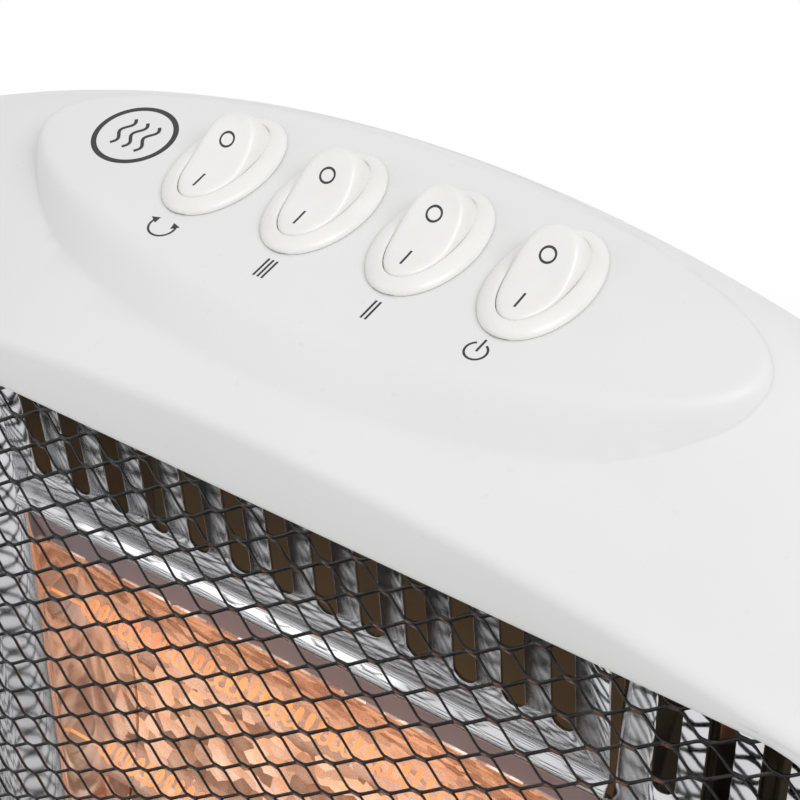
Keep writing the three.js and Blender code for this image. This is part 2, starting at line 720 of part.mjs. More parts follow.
/** Steel plate behind the reflector, trapped between the housings' screw bosses. */
function heatShield() {
  const half = bossX + 8;
  const low = windowBottom + 8;
  const high = windowTop - 12;
  const shape = new THREE.Shape([
    [-half, low + 12], [-half + 20, low], [half - 20, low], [half, low + 12],
    [half, high - 28], [half - 24, high], [-half + 24, high], [-half, high - 28],
  ].map(([x, z]) => new THREE.Vector2(x, z)));
  for (const [x, z] of bossPlaces) {
    const hole = new THREE.Path();
    hole.absarc(x, z, 1.5 + screwPlay, 0, 2 * Math.PI);
    shape.holes.push(hole);
  }
  return extrude(shape, sheet, 5).applyMatrix4(upright(shieldY + sheet));
}

/** Thermal cut-out: round button in a flanged cup, with two blades. */
function thermalCutOut() {
  const start = shieldY + sheet + seatGap;
  const cup = solid(turned([[0, start], [11, start], [11, start + 1], [8, start + 1], [8, start + 9],
    [7, start + 10], [0, start + 10]], 14), new THREE.Matrix4().makeRotationX(-Math.PI / 2));
  const blades = [-1, 1].map((k) => solid(new THREE.BoxGeometry(0.8, 9, 6), shift(4 * k, start + 13, 0)));
  return join(cup, ...blades);
}

/** Terminal block: a row of five posts with wire mouths. */
function terminalBlock() {
  const start = shieldY + sheet + seatGap;
  const block = solid(new THREE.BoxGeometry(58, 12, 18), shift(0, start + 6, 0));
  const posts = [-2, -1, 0, 1, 2].map((k) => solid(rod(4, start + 5, start + 17, 6),
    shift(k * 11, 0, 0).multiply(new THREE.Matrix4().makeRotationX(-Math.PI / 2))));
  const mouths = [-2, -1, 0, 1, 2].map((k) => solid(rod(2, -12, 12, 6), shift(k * 11, start + 6, 0)));
  return cut(join(block, ...posts), ...mouths);
}

// ---------------------------------------------------------------- swivel and stand

/** Hollow swivel column: journal in the stand, shoulder on the bearing, neck, head journal. */
function swivelColumn() {
  const low = armTop + seatGap;
  const shoulder = deckHeight + bearingHeight + 2 * seatGap;
  const headSeat = headBottom - seatGap;
  return turned([
    [swivelBore, low], [swivelRadius, low], [swivelRadius, shoulder], [shoulderRadius, shoulder],
    [shoulderRadius, shoulder + 3], [shoulderRadius - 2, shoulder + 4.5], [neckRadius + 0.5, shoulder + 7],
    [neckRadius, headSeat], [neckRadius - 3 - seatGap, headSeat],
    [neckRadius - 3 - seatGap, socketTop + 4], [swivelBore, socketTop + 4]], roundSegments, true);
}

/** Ring inside the head that clamps its floor to the column. */
const clampRing = () => turned([
  [neckRadius - 3, socketTop + seatGap], [neckRadius + 6, socketTop + seatGap],
  [neckRadius + 6, socketTop + 2.5], [neckRadius + 2, socketTop + 5],
  [neckRadius - 3, socketTop + 5]], roundSegments, true);

const swivelBearing = () => turned([
  [swivelRadius + swivelPlay, deckHeight + seatGap], [shoulderRadius, deckHeight + seatGap],
  [shoulderRadius, deckHeight + seatGap + bearingHeight - 0.4],
  [shoulderRadius - 0.4, deckHeight + seatGap + bearingHeight],
  [swivelRadius + swivelPlay, deckHeight + seatGap + bearingHeight]], roundSegments, true);

/** Slotted arm under the column; the crank pin works in its slot. */
function yokeArm() {
  const shape = new THREE.Shape();
  const reach = crankDistance + crankRadius + 9;
  const halfWidth = 9;
  const hub = swivelRadius + 5;
  const meet = Math.asin(halfWidth / hub);
  shape.absarc(0, 0, hub, Math.PI / 2 + meet, Math.PI / 2 - meet + 2 * Math.PI, false);
  shape.lineTo(halfWidth, reach - halfWidth);
  shape.absarc(0, reach - halfWidth, halfWidth, 0, Math.PI, false);
  shape.closePath();
  // the pin leaves the slot's middle line by this much at half swing
  const stray = 2.7;
  const half = crankPin + stray + 0.4;
  const slot = new THREE.Path();
  const inner = crankDistance - crankRadius;
  const outer = crankDistance + crankRadius;
  slot.absarc(0, outer - 1, half, 0, Math.PI, false);
  slot.absarc(0, inner + 2, half, Math.PI, 2 * Math.PI, false);
  slot.closePath();
  shape.holes.push(slot);
  const passage = new THREE.Path();
  passage.absarc(0, -11, 6, 0, 2 * Math.PI, false);
  shape.holes.push(passage);
  return extrude(shape, armThickness, 5).applyMatrix4(shift(0, 0, armTop - armThickness));
}

/** Crank disc on the motor shaft, with its pin up in the arm's slot. */
function crank() {
  const low = armTop - armThickness - 10;
  const disc = solid(turned([[0, low], [crankRadius + 4, low], [crankRadius + 4.5, low + 0.5],
    [crankRadius + 4.5, low + 3.5], [5, low + 3.5], [5, low + 6], [0, low + 6]], 14));
  const pin = solid(rod(crankPin, low + 1, armTop - 0.3, 12), shift(0, crankRadius, 0));
  const bore = solid(rod(2.5 + 0.3, low - 1, low + 3, 12));
  return cut(join(disc, pin), bore);
}

/** Slow gear motor: flat round can with its shaft up and two fixing ears. */
function gearMotor() {
  const low = plateTop + seatGap;
  const high = armTop - armThickness - 10 - 2;
  const can = solid(turned([[0, low], [24, low], [24, high - 1], [23, high], [0, high]], roundSegments));
  const shaft = solid(rod(2.5, high - 1, high + 4.6, 12));
  const ears = [-1, 1].map((k) => solid(ovals([[6, 5, low], [6, 5, low + 1.2]], 12), shift(27 * k, 0, 0)));
  return join(can, shaft, ...ears);
}

const standLevels = [
  [0, 0, standRim], [2, 2, standRim + 4], [1, 1, 0.375 * deckHeight], [-9, -8, 0.65 * deckHeight],
  [-26, -21, 0.855 * deckHeight], [-44, -33, deckHeight - 1.5], [-60, -43, deckHeight],
];
const standSegments = 24;
const standLevel = (inset, drop) => standLevels.map(([x, y, z]) =>
  [standHalfWidth + x - inset, standHalfDepth + y - inset, z - drop]);

const standScrews = [[-95, -45], [95, -45], [-95, 45], [95, 45]];
const feet = { front_left: [-82, -66], front_right: [82, -66], rear_left: [-82, 66], rear_right: [82, 66] };
const tipX = -60;
const tipY = -10;

/** Stand cover: oval dome with a flat deck, screw bosses below and the cable inlet behind. */
function standCover() {
  const outer = solid(ovals(standLevel(0, 0), standSegments, false, 2.4));
  const hollow = [[standHalfWidth - wall, standHalfDepth - wall, standRim - 2], ...standLevel(wall, 0).slice(1, 5),
    [standHalfWidth - 46 - wall, standHalfDepth - 35 - wall, deckHeight - 3.6],
    [standHalfWidth - 62 - wall, standHalfDepth - 45 - wall, deckHeight - 3]];
  const inner = solid(ovals(hollow, standSegments, false, 2.4));
  const journal = solid(rod(swivelRadius + swivelPlay, deckHeight - 10, deckHeight + 5, roundSegments));
  const bosses = standScrews.map(([x, y]) => solid(rod(4, plateTop + seatGap, deckHeight - 8, 10), shift(x, y, 0)))
    .map((boss) => boss.intersect(outer));
  const holes = standScrews.map(([x, y]) => solid(rod(1.5 + screwPlay, 0, plateTop + 14, 10), shift(x, y, 0)));
  const inletBoss = alongY(0, inletZ, 8.5, inletFace - 6.5, standHalfDepth + 5).intersect(outer);
  const inletHole = alongY(0, inletZ, inletRadius + seatGap, inletFace - 20, inletFace + 20, 14);
  const inletPocket = alongY(0, inletZ, inletRadius + 2, inletFace, inletFace + 20, 14);
  return cut(join(cut(outer, inner), inletBoss, ...bosses), journal, ...holes, inletHole, inletPocket);
}

/** Steel weight plate that closes the stand. */
function weightPlate() {
  const low = footHeight + seatGap;
  const plate = solid(ovals([[standHalfWidth - wall - 0.6, standHalfDepth - wall - 0.6, low],
    [standHalfWidth - wall - 0.6, standHalfDepth - wall - 0.6, low + standPlate]], standSegments, false, 2.4));
  const holes = standScrews.map(([x, y]) => solid(rod(1.5 + screwPlay, 0, 20, 8), shift(x, y, 0)));
  const tipHole = solid(rod(4.3, 0, 20, 12), shift(tipX, tipY, 0));
  return cut(plate, ...holes, tipHole);
}

const foot = () => turned([[0, 0], [8.5, 0], [9.5, 1], [9.5, footHeight - 1], [9, footHeight],
  [0, footHeight]], 12);

const standScrew = () => turned([[0, 2.4], [2.6, 2.6], [3.4, 3.4], [3.4, footHeight], [1.5, footHeight],
  [1.5, plateTop + 12], [0, plateTop + 13]], 8);

/** Tip-over switch: a box over its sprung plunger. */
function tipSwitch() {
  const low = plateTop + seatGap;
  const box = solid(new THREE.BoxGeometry(26, 16, 18), shift(0, 0, low + 9));
  const well = solid(rod(4.3, low - 1, low + 12, 12));
  const blades = [-8, 0, 8].map((x) => solid(new THREE.BoxGeometry(0.8, 4.8, 8), shift(x, 0, low + 21)));
  return cut(join(box, ...blades), well);
}

const tipPlunger = () => turned([[0, 0.2], [2.2, 0.2], [4, 1.6], [4, plateTop + 8], [0, plateTop + 8]], 12);

/** Grommet in the stand's back wall, where a cable would leave. */
function cableInlet() {
  const rim = inletRadius + 1.6;
  const inside = inletFace - 6.5 - seatGap;
  const ring = turned([[3, inside - 2], [rim, inside - 2], [rim, inside], [inletRadius, inside],
    [inletRadius, inletFace + seatGap], [rim, inletFace + seatGap], [rim, inletFace + 1.9],
    [rim - 1, inletFace + 2.7], [3, inletFace + 2.7]], 14, true);
  return ring.applyMatrix4(new THREE.Matrix4().makeRotationX(-Math.PI / 2)).applyMatrix4(shift(0, 0, inletZ));
}

// ---------------------------------------------------------------- assembly

piece("front_housing", frontHousing(), white());
piece("control_panel", controlPanel(), white());
piece("rear_housing", rearHousing(), white());
piece("handle_cup", handleCup(), blackPlastic());
bossPlaces.forEach(([x, z], i) => {
  const screw = piece(`case_screw_${i + 1}`, caseScrew(), zincSteel());
  screw.position.set(x, 0, z);
  screw.rotation.x = Math.PI / 2;
});

switchX.forEach((x, i) => {
  const seat = new THREE.Group();
  seat.position.x = x;
  panelGroup.add(seat);
  piece(`switch_body_${i + 1}`, switchBody(), switchWhite(), seat);
  const key = piece(`rocker_${i + 1}`, rocker(), switchWhite(), seat);
  key.position.z = rockerPivot;
  key.rotation.x = THREE.MathUtils.degToRad(rockerTilt);
});

piece("guard", guard(), blackSteel());
piece("reflector", reflector(), polished());
piece("bracket_left", endBracket(-1), polished());
piece("bracket_right", endBracket(1), polished());
tubeHeights.forEach((z, i) => {
  const number = i + 1;
  piece(`quartz_tube_${number}`, quartzTube().applyMatrix4(lengthwise(z)), glass());
  piece(`filament_${number}`, filament().applyMatrix4(shift(0, tubeY, z)), glowing());
  for (const [side, turn] of [["right", 1], ["left", -1]]) {
    const cap = piece(`tube_cap_${side}_${number}`, endCap(), ceramic());
    cap.position.set(0, tubeY, z);
    cap.rotation.y = (turn * Math.PI) / 2;
  }
});
piece("heat_shield", heatShield(), zincSteel());
piece("thermal_cut_out", thermalCutOut(), blackPlastic()).position.set(0, 0, windowMiddle + 26);
piece("terminal_block", terminalBlock(), nylon()).position.set(0, 0, windowMiddle - 60);

piece("swivel_column", swivelColumn(), white());
piece("clamp_ring", clampRing(), nylon());
piece("yoke_arm", yokeArm(), zincSteel());
piece("swivel_bearing", swivelBearing(), nylon());
piece("crank", crank(), nylon()).position.set(0, crankDistance, 0);
piece("gear_motor", gearMotor(), zincSteel()).position.set(0, crankDistance, 0);
piece("stand_cover", standCover(), white());
piece("weight_plate", weightPlate(), zincSteel());
for (const [place, [x, y]] of Object.entries(feet)) piece(`foot_${place}`, foot(), rubber()).position.set(x, y, 0);
standScrews.forEach(([x, y], i) => piece(`stand_screw_${i + 1}`, standScrew(), zincSteel()).position.set(x, y, 0));
piece("tip_switch", tipSwitch(), blackPlastic()).position.set(tipX, tipY, 0);
piece("tip_plunger", tipPlunger(), blackPlastic()).position.set(tipX, tipY, 0);
piece("cable_inlet", cableInlet(), blackPlastic());

export default root;
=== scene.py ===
import math

import bmesh
import bpy
from mathutils import Matrix, Vector, noise as lattice_noise


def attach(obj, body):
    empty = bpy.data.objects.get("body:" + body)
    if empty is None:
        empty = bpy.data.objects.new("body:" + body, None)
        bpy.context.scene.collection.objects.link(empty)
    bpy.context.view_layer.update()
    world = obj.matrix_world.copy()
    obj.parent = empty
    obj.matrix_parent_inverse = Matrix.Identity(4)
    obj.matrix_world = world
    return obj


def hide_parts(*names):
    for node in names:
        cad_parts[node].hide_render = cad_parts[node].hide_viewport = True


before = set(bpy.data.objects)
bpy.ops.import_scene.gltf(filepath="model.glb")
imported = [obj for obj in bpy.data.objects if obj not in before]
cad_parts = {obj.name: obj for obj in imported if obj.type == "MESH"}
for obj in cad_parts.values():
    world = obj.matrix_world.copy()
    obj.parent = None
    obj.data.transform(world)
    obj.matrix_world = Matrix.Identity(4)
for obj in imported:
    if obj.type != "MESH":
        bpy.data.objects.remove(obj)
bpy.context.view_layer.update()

# ---------------- camera, floor and light
# The heater stands on a pale floor under soft studio light. The floor takes the soft shadow of
# the stand close by, and fades into plain white far off.

scene = bpy.context.scene
scene.view_settings.view_transform = "Standard"

sight = Vector((-0.47573, 0.66088, -0.58045)).normalized()
rightwards = sight.cross(Vector((0, 0, 1))).normalized()
upwards = rightwards.cross(sight)
camera = bpy.data.objects.new("camera", bpy.data.cameras.new("camera"))
camera.data.lens = 90
camera.data.sensor_width = 36
camera.data.clip_start = 0.01
camera.matrix_world = (Matrix.Translation((0.19607, -0.28088, 0.57361))
                       @ Matrix((rightwards, upwards, -sight)).transposed().to_4x4())
scene.collection.objects.link(camera)
scene.camera = camera


class Wire:
    """A socket of a node tree that can stand in a sum or a product."""

    def __init__(self, tree, socket=None):
        self.tree, self.socket = tree, socket

    def node(self, kind, settings=None, sockets=None, output=0):
        made = self.tree.nodes.new(kind)
        for key, value in (settings or {}).items():
            setattr(made, key, value)
        for key, value in (sockets or {}).items():
            if isinstance(value, Wire):
                self.tree.links.new(value.socket, made.inputs[key])
            else:
                made.inputs[key].default_value = value
        return Wire(self.tree, made.outputs[output])

    def sum(self, operation, *others):
        return self.node("ShaderNodeMath", {"operation": operation}, dict(enumerate((self, *others))))

    def __add__(self, other):
        return self.sum("ADD", other)

    def __mul__(self, other):
        return self.sum("MULTIPLY", other)

    __radd__, __rmul__ = __add__, __mul__

    def __sub__(self, other):
        return self + -1 * other

    def __rsub__(self, other):
        return other + -1 * self

    def top(self, other):
        return self.sum("MAXIMUM", other)

    def step(self, low, high, start=0.0, end=1.0):
        """Rises smoothly from start to end while this wire goes from low to high."""
        return self.node("ShaderNodeMapRange", {"interpolation_type": "SMOOTHSTEP"},
                         {0: self, 1: low, 2: high, 3: start, 4: end})

    def blend(self, first, second):
        """Colour between two colours, by this wire."""
        return self.node("ShaderNodeMix", {"data_type": "RGBA"}, {0: self, 6: first, 7: second}, 2)

    def noise(self, scale, detail=2.0, roughness=0.5, stretch=None):
        """Cloudy noise over this vector; scale is in waves per metre."""
        where = self.stretched(stretch) if stretch else self
        return where.node("ShaderNodeTexNoise", None,
                          {"Vector": where, "Scale": scale, "Detail": detail, "Roughness": roughness})

    def stretched(self, stretch, turn=(0, 0, 0), move=(0, 0, 0)):
        return self.node("ShaderNodeMapping", None,
                         {"Vector": self, "Location": move, "Rotation": turn, "Scale": stretch})

    def bump(self, height, strength, normal=None):
        """Normal from this height; height is in metres where the wire is 1."""
        sockets = {"Height": self, "Distance": height, "Strength": strength}
        if normal:
            sockets["Normal"] = normal
        return self.node("ShaderNodeBump", None, sockets)

    def soft_edges(self, radius, samples=6):
        """Normal that rounds every edge, whatever the mesh."""
        return self.node("ShaderNodeBevel", {"samples": samples}, {"Radius": radius})

    def axis(self, number):
        return self.node("ShaderNodeSeparateXYZ", None, {0: self}, number)


def finish_of(name, **constants):
    """A new material; returns it, its shader, and the place on the object as a wire."""
    made = bpy.data.materials.new(name)
    made.use_nodes = True
    shader = made.node_tree.nodes["Principled BSDF"]
    for socket, value in constants.items():
        shader.inputs[socket.replace("_", " ")].default_value = value
    place = Wire(made.node_tree).node("ShaderNodeTexCoord", None, None, 3)
    return made, shader, place


def feed(shader, **wires):
    for socket, wire in wires.items():
        wire.tree.links.new(wire.socket, shader.inputs[socket.replace("_", " ")])


def new_piece(name):
    """Names the primitive that was just added."""
    piece = bpy.context.object
    piece.name = piece.data.name = name
    return piece


def plain_selection():
    bpy.ops.object.select_all(action="DESELECT")


def mode(name):
    bpy.ops.object.mode_set(mode=name)


def looked_at(tree):
    """1 for a ray that comes from the camera, from a mirror or through glass."""
    rays = tree.nodes.new("ShaderNodeLightPath").outputs
    camera_ray, glossy, through = (Wire(tree, rays[f"Is {kind} Ray"])
                                   for kind in ("Camera", "Glossy", "Transmission"))
    return camera_ray.top(glossy).top(through)


floor_finish, floor_shader, floor_place = finish_of("floor", Roughness=0.9)
feed(floor_shader, Base_Color=floor_place.noise(3, 3).step(0.3, 0.7).blend(
    (0.84, 0.84, 0.84, 1), (0.87, 0.87, 0.87, 1)))
tree = floor_finish.node_tree
distance = floor_place.node("ShaderNodeVectorMath", {"operation": "LENGTH"}, {0: floor_place}, 1)
far_off = distance.step(0.22, 0.62)
glow = floor_place.node("ShaderNodeEmission", None, {"Color": (1, 1, 1, 1), "Strength": 1.0})
shade = Wire(tree, floor_shader.outputs[0])
plain = floor_place.node("ShaderNodeMixShader", None, {0: looked_at(tree) * far_off, 1: shade, 2: glow})
tree.links.new(plain.socket, tree.nodes["Material Output"].inputs["Surface"])
plain_selection()
bpy.ops.mesh.primitive_plane_add(size=14, location=(0, 0, -0.0001))
floor = new_piece("floor")
floor.data.materials.append(floor_finish)

world = bpy.data.worlds.new("studio")
scene.world = world
world.use_nodes = True
tree = world.node_tree
seen = looked_at(tree)
background = seen.node("ShaderNodeMixShader", None, {
    0: seen,
    1: seen.node("ShaderNodeBackground", None, {"Color": (1, 1, 1, 1), "Strength": 0.66}),
    2: seen.node("ShaderNodeBackground", None, {"Color": (1, 1, 1, 1), "Strength": 1.0})})
tree.links.new(background.socket, tree.nodes["World Output"].inputs["Surface"])


def softbox(name, place, aim, size, power):
    lamp = bpy.data.objects.new(name, bpy.data.lights.new(name, "AREA"))
    lamp.data.shape = "DISK"
    lamp.data.size = size
    lamp.data.energy = power
    lamp.location = place
    lamp.rotation_euler = (Vector(aim) - Vector(place)).to_track_quat("-Z", "Y").to_euler()
    scene.collection.objects.link(lamp)


softbox("key", (1.5, -0.35, 1.9), (0, 0, 0.3), 1.4, 19)
softbox("fill", (-1.3, -1.5, 1.5), (0, 0, 0.25), 1.6, 6)

# ---------------- front housing and panel
# One moulding of white plastic, 2.5 mm thick: an arched shell round the square window, with the
# oval control panel standing up from its top. Four bosses inside take the screws from the back.

MM = 0.001
opening_half, opening_low, opening_high, opening_corner = 130, 98, 338, 24
front_y, face_y, parting_y = -60, -56, 18
head_half, front_half, front_top = 154, 142, 356.5
wall = 2.5


def head_outline(half, top, bottom, crown, keel, corner, y, bow=0):
    """Outline of the head: arched top, rounded corners, keeled bottom, clockwise from the top."""
    inner = half - corner

    def upper(x):
        return top - crown * (x / half) ** 2

    def lower(x):
        return bottom + keel * (x / half) ** 2

    def rounded(start, slope, end):
        guides = [start, (start[0] + 0.55 * corner, start[1] + 0.55 * corner * slope),
                  (end[0], end[1] + 0.55 * (start[1] - end[1])), end]
        points = []
        for i in range(13):
            t = i / 12
            shares = [(1 - t) ** 3, 3 * t * (1 - t) ** 2, 3 * t * t * (1 - t), t ** 3]
            points.append([sum(s * g[k] for s, g in zip(shares, guides)) for k in (0, 1)])
        return points

    shoulder = rounded((inner, upper(inner)), -2 * crown * inner / half ** 2, (half, top - crown - corner))
    foot = rounded((inner, lower(inner)), 2 * keel * inner / half ** 2, (half, bottom + keel + corner))[::-1]
    rise = foot[0][1] - shoulder[-1][1]
    side = [(half, shoulder[-1][1] + rise * i / 10) for i in range(1, 10)]
    right = [(inner * i / 24, upper(inner * i / 24)) for i in range(24)] + shoulder + side + foot
    right += [(inner * i / 24, lower(inner * i / 24)) for i in range(23, 0, -1)] + [(0, bottom)]
    left = [(-x, z) for x, z in right[-2:0:-1]]
    return [Vector((x, y + bow * (x / half) ** 2, z)) for x, z in right + left]


def opening_outline(y, grow=0):
    return head_outline(opening_half + grow, opening_high + grow, opening_low - grow, 0, 0,
                        opening_corner + grow, y)


# Sections of the front housing: how far behind its front edge, how high their top stands over
# that edge, and how wide their arch is. The top climbs to a ridge and rolls over to the back.
front_sections = [
    (0, 0, 880), (6, 3.4, 880), (9.5, 6.3, 880), (14, 9.5, 880), (19, 12.9, 880), (24, 16.2, 880),
    (29.3, 20.3, 880), (35.2, 24.2, 820), (40, 27.6, 780), (44.5, 30.4, 710), (49, 32.5, 655),
    (54, 32.9, 630), (58, 32.4, 610), (61, 31.7, 600), (64, 30.7, 590), (67, 29.4, 575),
    (70, 27.6, 565), (73, 25.2, 557), (75.5, 22.7, 553), (78, 20, 550)]


def front_outline(section, inset=0):
    """Outline of the front housing at one of its sections."""
    back, rise, arch = section
    t = back / (parting_y - front_y)
    swell = math.sqrt(1 - (1 - t) ** 2)
    half = front_half + (head_half - front_half) * swell
    crown = half ** 2 / arch
    corner = 40.9 + 42.3 * t - crown
    return head_outline(half - inset, front_top + rise - inset, 84 - 14 * swell + inset, crown, 6 + 6 * t,
                        corner - inset / 2, front_y + back + inset * (1 - t), 3.6 * (1 - t))


def moved_to(points, y):
    return [Vector((p.x, y, p.z)) for p in points]


def drawn_out(name, rings, ends=(True, True), looped=False):
    """A circle drawn out ring by ring, each new ring moved onto its outline, ends filled."""
    plain_selection()
    bpy.ops.mesh.primitive_circle_add(vertices=len(rings[0]), radius=0.1, fill_type="NOTHING")
    piece = new_piece(name)
    mode("EDIT")
    mesh = bmesh.from_edit_mesh(piece.data)
    mesh.verts.ensure_lookup_table()
    current = list(mesh.verts)
    order = {v.index: i for i, v in enumerate(current)}
    for number, ring in enumerate(rings):
        if number:
            bpy.ops.mesh.extrude_edges_move()
            mesh = bmesh.from_edit_mesh(piece.data)
            mesh.verts.index_update()
            fresh = {}
            for v in mesh.verts:
                if v.select:
                    before = next(e.other_vert(v) for e in v.link_edges if not e.other_vert(v).select)
                    fresh[v.index] = order[before.index]
            order = fresh
        mesh.verts.ensure_lookup_table()
        for index, i in order.items():
            mesh.verts[index].co = Vector(ring[i]) * MM
        bmesh.update_edit_mesh(piece.data)
    size = len(rings[0])
    mesh.verts.ensure_lookup_table()
    first, last = set(range(size)), set(order)
    if looped:
        choose(piece, "EDGE",
               lambda e: {v.index for v in e.verts} <= first or {v.index for v in e.verts} <= last)
        bpy.ops.mesh.bridge_edge_loops()
    else:
        for wanted, loop in zip(ends, (first, last)):
            if wanted:
                choose(piece, "EDGE", lambda e, loop=loop: {v.index for v in e.verts} <= loop)
                bpy.ops.mesh.edge_face_add()
    bpy.ops.mesh.select_all(action="SELECT")
    bpy.ops.mesh.normals_make_consistent(inside=False)
    mode("OBJECT")
    return piece


def choose(piece, kind, wanted):
    """Selects the vertices, edges or faces of the piece in edit mode that a test wants."""
    bpy.ops.mesh.select_mode(type=kind)
    bpy.ops.mesh.select_all(action="DESELECT")
    mesh = bmesh.from_edit_mesh(piece.data)
    for item in {"VERT": mesh.verts, "EDGE": mesh.edges, "FACE": mesh.faces}[kind]:
        if wanted(item):
            item.select_set(True)
    bmesh.update_edit_mesh(piece.data)


def alone(piece):
    """Selects one piece only and makes it active."""
    plain_selection()
    piece.select_set(True)
    bpy.context.view_layer.objects.active = piece
    return piece


def modified(piece, kind, **settings):
    """Adds a modifier and applies it."""
    alone(piece)
    modifier = piece.modifiers.new(kind, kind)
    for key, value in settings.items():
        setattr(modifier, key, value)
    bpy.ops.object.modifier_apply(modifier=modifier.name)
    return piece


def cut(piece, *tools, operation="DIFFERENCE"):
    """Cuts tools out of the piece, or joins them to it, and throws the tools away."""
    for tool in tools:
        modified(piece, "BOOLEAN", operation=operation, object=tool, solver="EXACT")
        bpy.data.objects.remove(tool)
    return piece


def joined(name, *pieces):
    """Several pieces made one."""
    plain_selection()
    for piece in pieces:
        piece.select_set(True)
    bpy.context.view_layer.objects.active = pieces[0]
    if len(pieces) > 1:
        bpy.ops.object.join()
    return new_piece(name)


def smooth(piece, angle=35):
    alone(piece)
    bpy.ops.object.shade_smooth_by_angle(angle=math.radians(angle))
    return piece


def dress(piece, finish, body, slot, *nodes):
    """Gives a finished piece its material and its body, and hides the frame's nodes that it stands for; slot is not
    used.
    """
    if finish:
        piece.data.materials.clear()
        piece.data.materials.append(finish)
    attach(piece, body)
    if nodes:
        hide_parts(*nodes)
    return piece


def circle(radius, height, segments=48, middle=(0, 0), squash=1.0, power=2.0):
    """Points of a level oval; power above 2 squares it."""
    points = []
    for i in range(segments):
        angle = 2 * math.pi * i / segments
        c, s = math.cos(angle), math.sin(angle)
        x = radius * math.copysign(abs(c) ** (2 / power), c)
        y = radius * squash * math.copysign(abs(s) ** (2 / power), s)
        points.append(Vector((middle[0] + x, middle[1] + y, height)))
    return points


def turned(name, profile, segments=48, place=(0, 0, 0), along="Z", looped=False):
    """A turned piece: pairs of radius and height, drawn out ring by ring about an axis."""
    turns = {"Z": Matrix.Identity(3), "Y": Matrix.Rotation(-math.pi / 2, 3, "X"),
             "X": Matrix.Rotation(math.pi / 2, 3, "Y")}
    rings = [[turns[along] @ p + Vector(place) for p in circle(max(r, 0.01), h, segments)] for r, h in profile]
    return drawn_out(name, rings, (not looped, not looped), looped)


panel_middle, panel_lean = (0, -16, 380), math.radians(11.8)
panel_frame = Matrix.Translation(panel_middle) @ Matrix.Rotation(panel_lean, 4, "X")


def on_panel(points, middle=(0, 0, 0)):
    return [panel_frame @ (Vector(p) + Vector(middle)) for p in points]


def oval(half_width, half_depth, height, shift=0, segments=160):
    return circle(half_width, height, segments, (0, shift), half_depth / half_width)


# Levels of the raised oval: depth under its top, and how far its sides, front and back stand out.
panel_levels = [
    (20, 1.6, 12.4, 0), (15, 1.6, 12.2, 0), (12.6, 1.5, 11.6, 0), (9, 1.1, 8.4, 0), (6, 0.75, 5.6, 0),
    (4, 0.5, 3.7, 0), (2.7, 0.3, 2.4, 0), (1.7, 0.1, 1.25, 0), (1.1, -0.15, 0.5, -0.1),
    (0.7, -0.5, -0.1, -0.3), (0.4, -0.85, -0.6, -0.5), (0.18, -1.25, -1.1, -0.75),
    (0.05, -1.75, -1.65, -1.1), (0, -2.4, -2.3, -1.6)]


def panel_block(name, inset):
    """The raised oval, with a sloping front and a rounded top edge."""
    rings = []
    for depth, side, front, back in panel_levels:
        ring = []
        for i in range(160):
            angle = 2 * math.pi * i / 160
            c, s = math.cos(angle), math.sin(angle)
            reach = 26.5 + (back if s > 0 else front) - inset
            ring.append(((83.5 + side - inset) * c, reach * s - 2.3, -depth - inset))
        rings.append(on_panel(ring))
    return drawn_out(name, rings)


def flat(name, height, grow):
    """The space over the panel's flat top, down to a height."""
    return drawn_out(name, [on_panel(oval(83 + grow, 26.8 + grow, depth, -2)) for depth in (height, 30)])


lip = [a.lerp(b, 0.05) for a, b in zip(opening_outline(face_y - 1.6, 3), front_outline(front_sections[0]))]
housing = drawn_out("front_housing_shell", [opening_outline(face_y), opening_outline(face_y - 0.9, 0.6), lip,
                                            *(front_outline(section) for section in front_sections)])
mode("EDIT")
crease = set(range(3 * len(lip), 4 * len(lip)))
choose(housing, "EDGE", lambda e: {v.index for v in e.verts} <= crease)
bpy.ops.mesh.bevel(offset=0.0046, segments=6, profile=0.5, clamp_overlap=True)
mode("OBJECT")
hollow_rings = [opening_outline(face_y + wall, 3)]
hollow_rings += [front_outline(section, wall) for section in front_sections]
hollow_rings.append(moved_to(front_outline(front_sections[-1], wall), parting_y + 1))
hollow = drawn_out("hollow", hollow_rings)
window_tool = drawn_out("window", [opening_outline(face_y - 20), opening_outline(face_y + 20)])
switch_places = [-37.5, -12.5, 12.5, 37.5]
switch_tools = [drawn_out("hole", [on_panel(oval(9.5, 15.3, height, 0, 64), (x, 0, 0)) for height in (-9, 4)])
                for x in switch_places]
cut(housing, flat("over_panel", -0.22, 14))
cut(housing, panel_block("panel", 0), operation="UNION")
cut(hollow, flat("under_panel", -wall, wall))
cut(housing, hollow, panel_block("panel_hollow", wall), window_tool, *switch_tools)
behind = [Vector((x, 0, z)) for x, z in ((-110, 340), (110, 340), (110, 460), (-110, 460))]
cut(housing, drawn_out("behind", [moved_to(behind, y) for y in (parting_y, parting_y + 60)]))
socket = turned("socket", [(28, 70.6), (38.6, 70.6), (39, 71), (39, 78), (28, 78)], 72, looped=True)
cut(housing, turned("neck_hole", [(28, 60), (28, 90)], 72))
boss_places = [(x, z) for z in (130, 285) for x in (-137, 137)]
bosses = [turned("boss", [(1.8, -54), (4.5, -54), (4.5, -4), (1.8, -4)], 24, (x, 0, z), "Y", True)
          for x, z in boss_places]
housing = smooth(joined("front_housing_shell", housing, socket, *bosses), 38)


def tone(colour, factor, more=0.0):
    return [factor * c + more for c in colour[:3]] + [1]


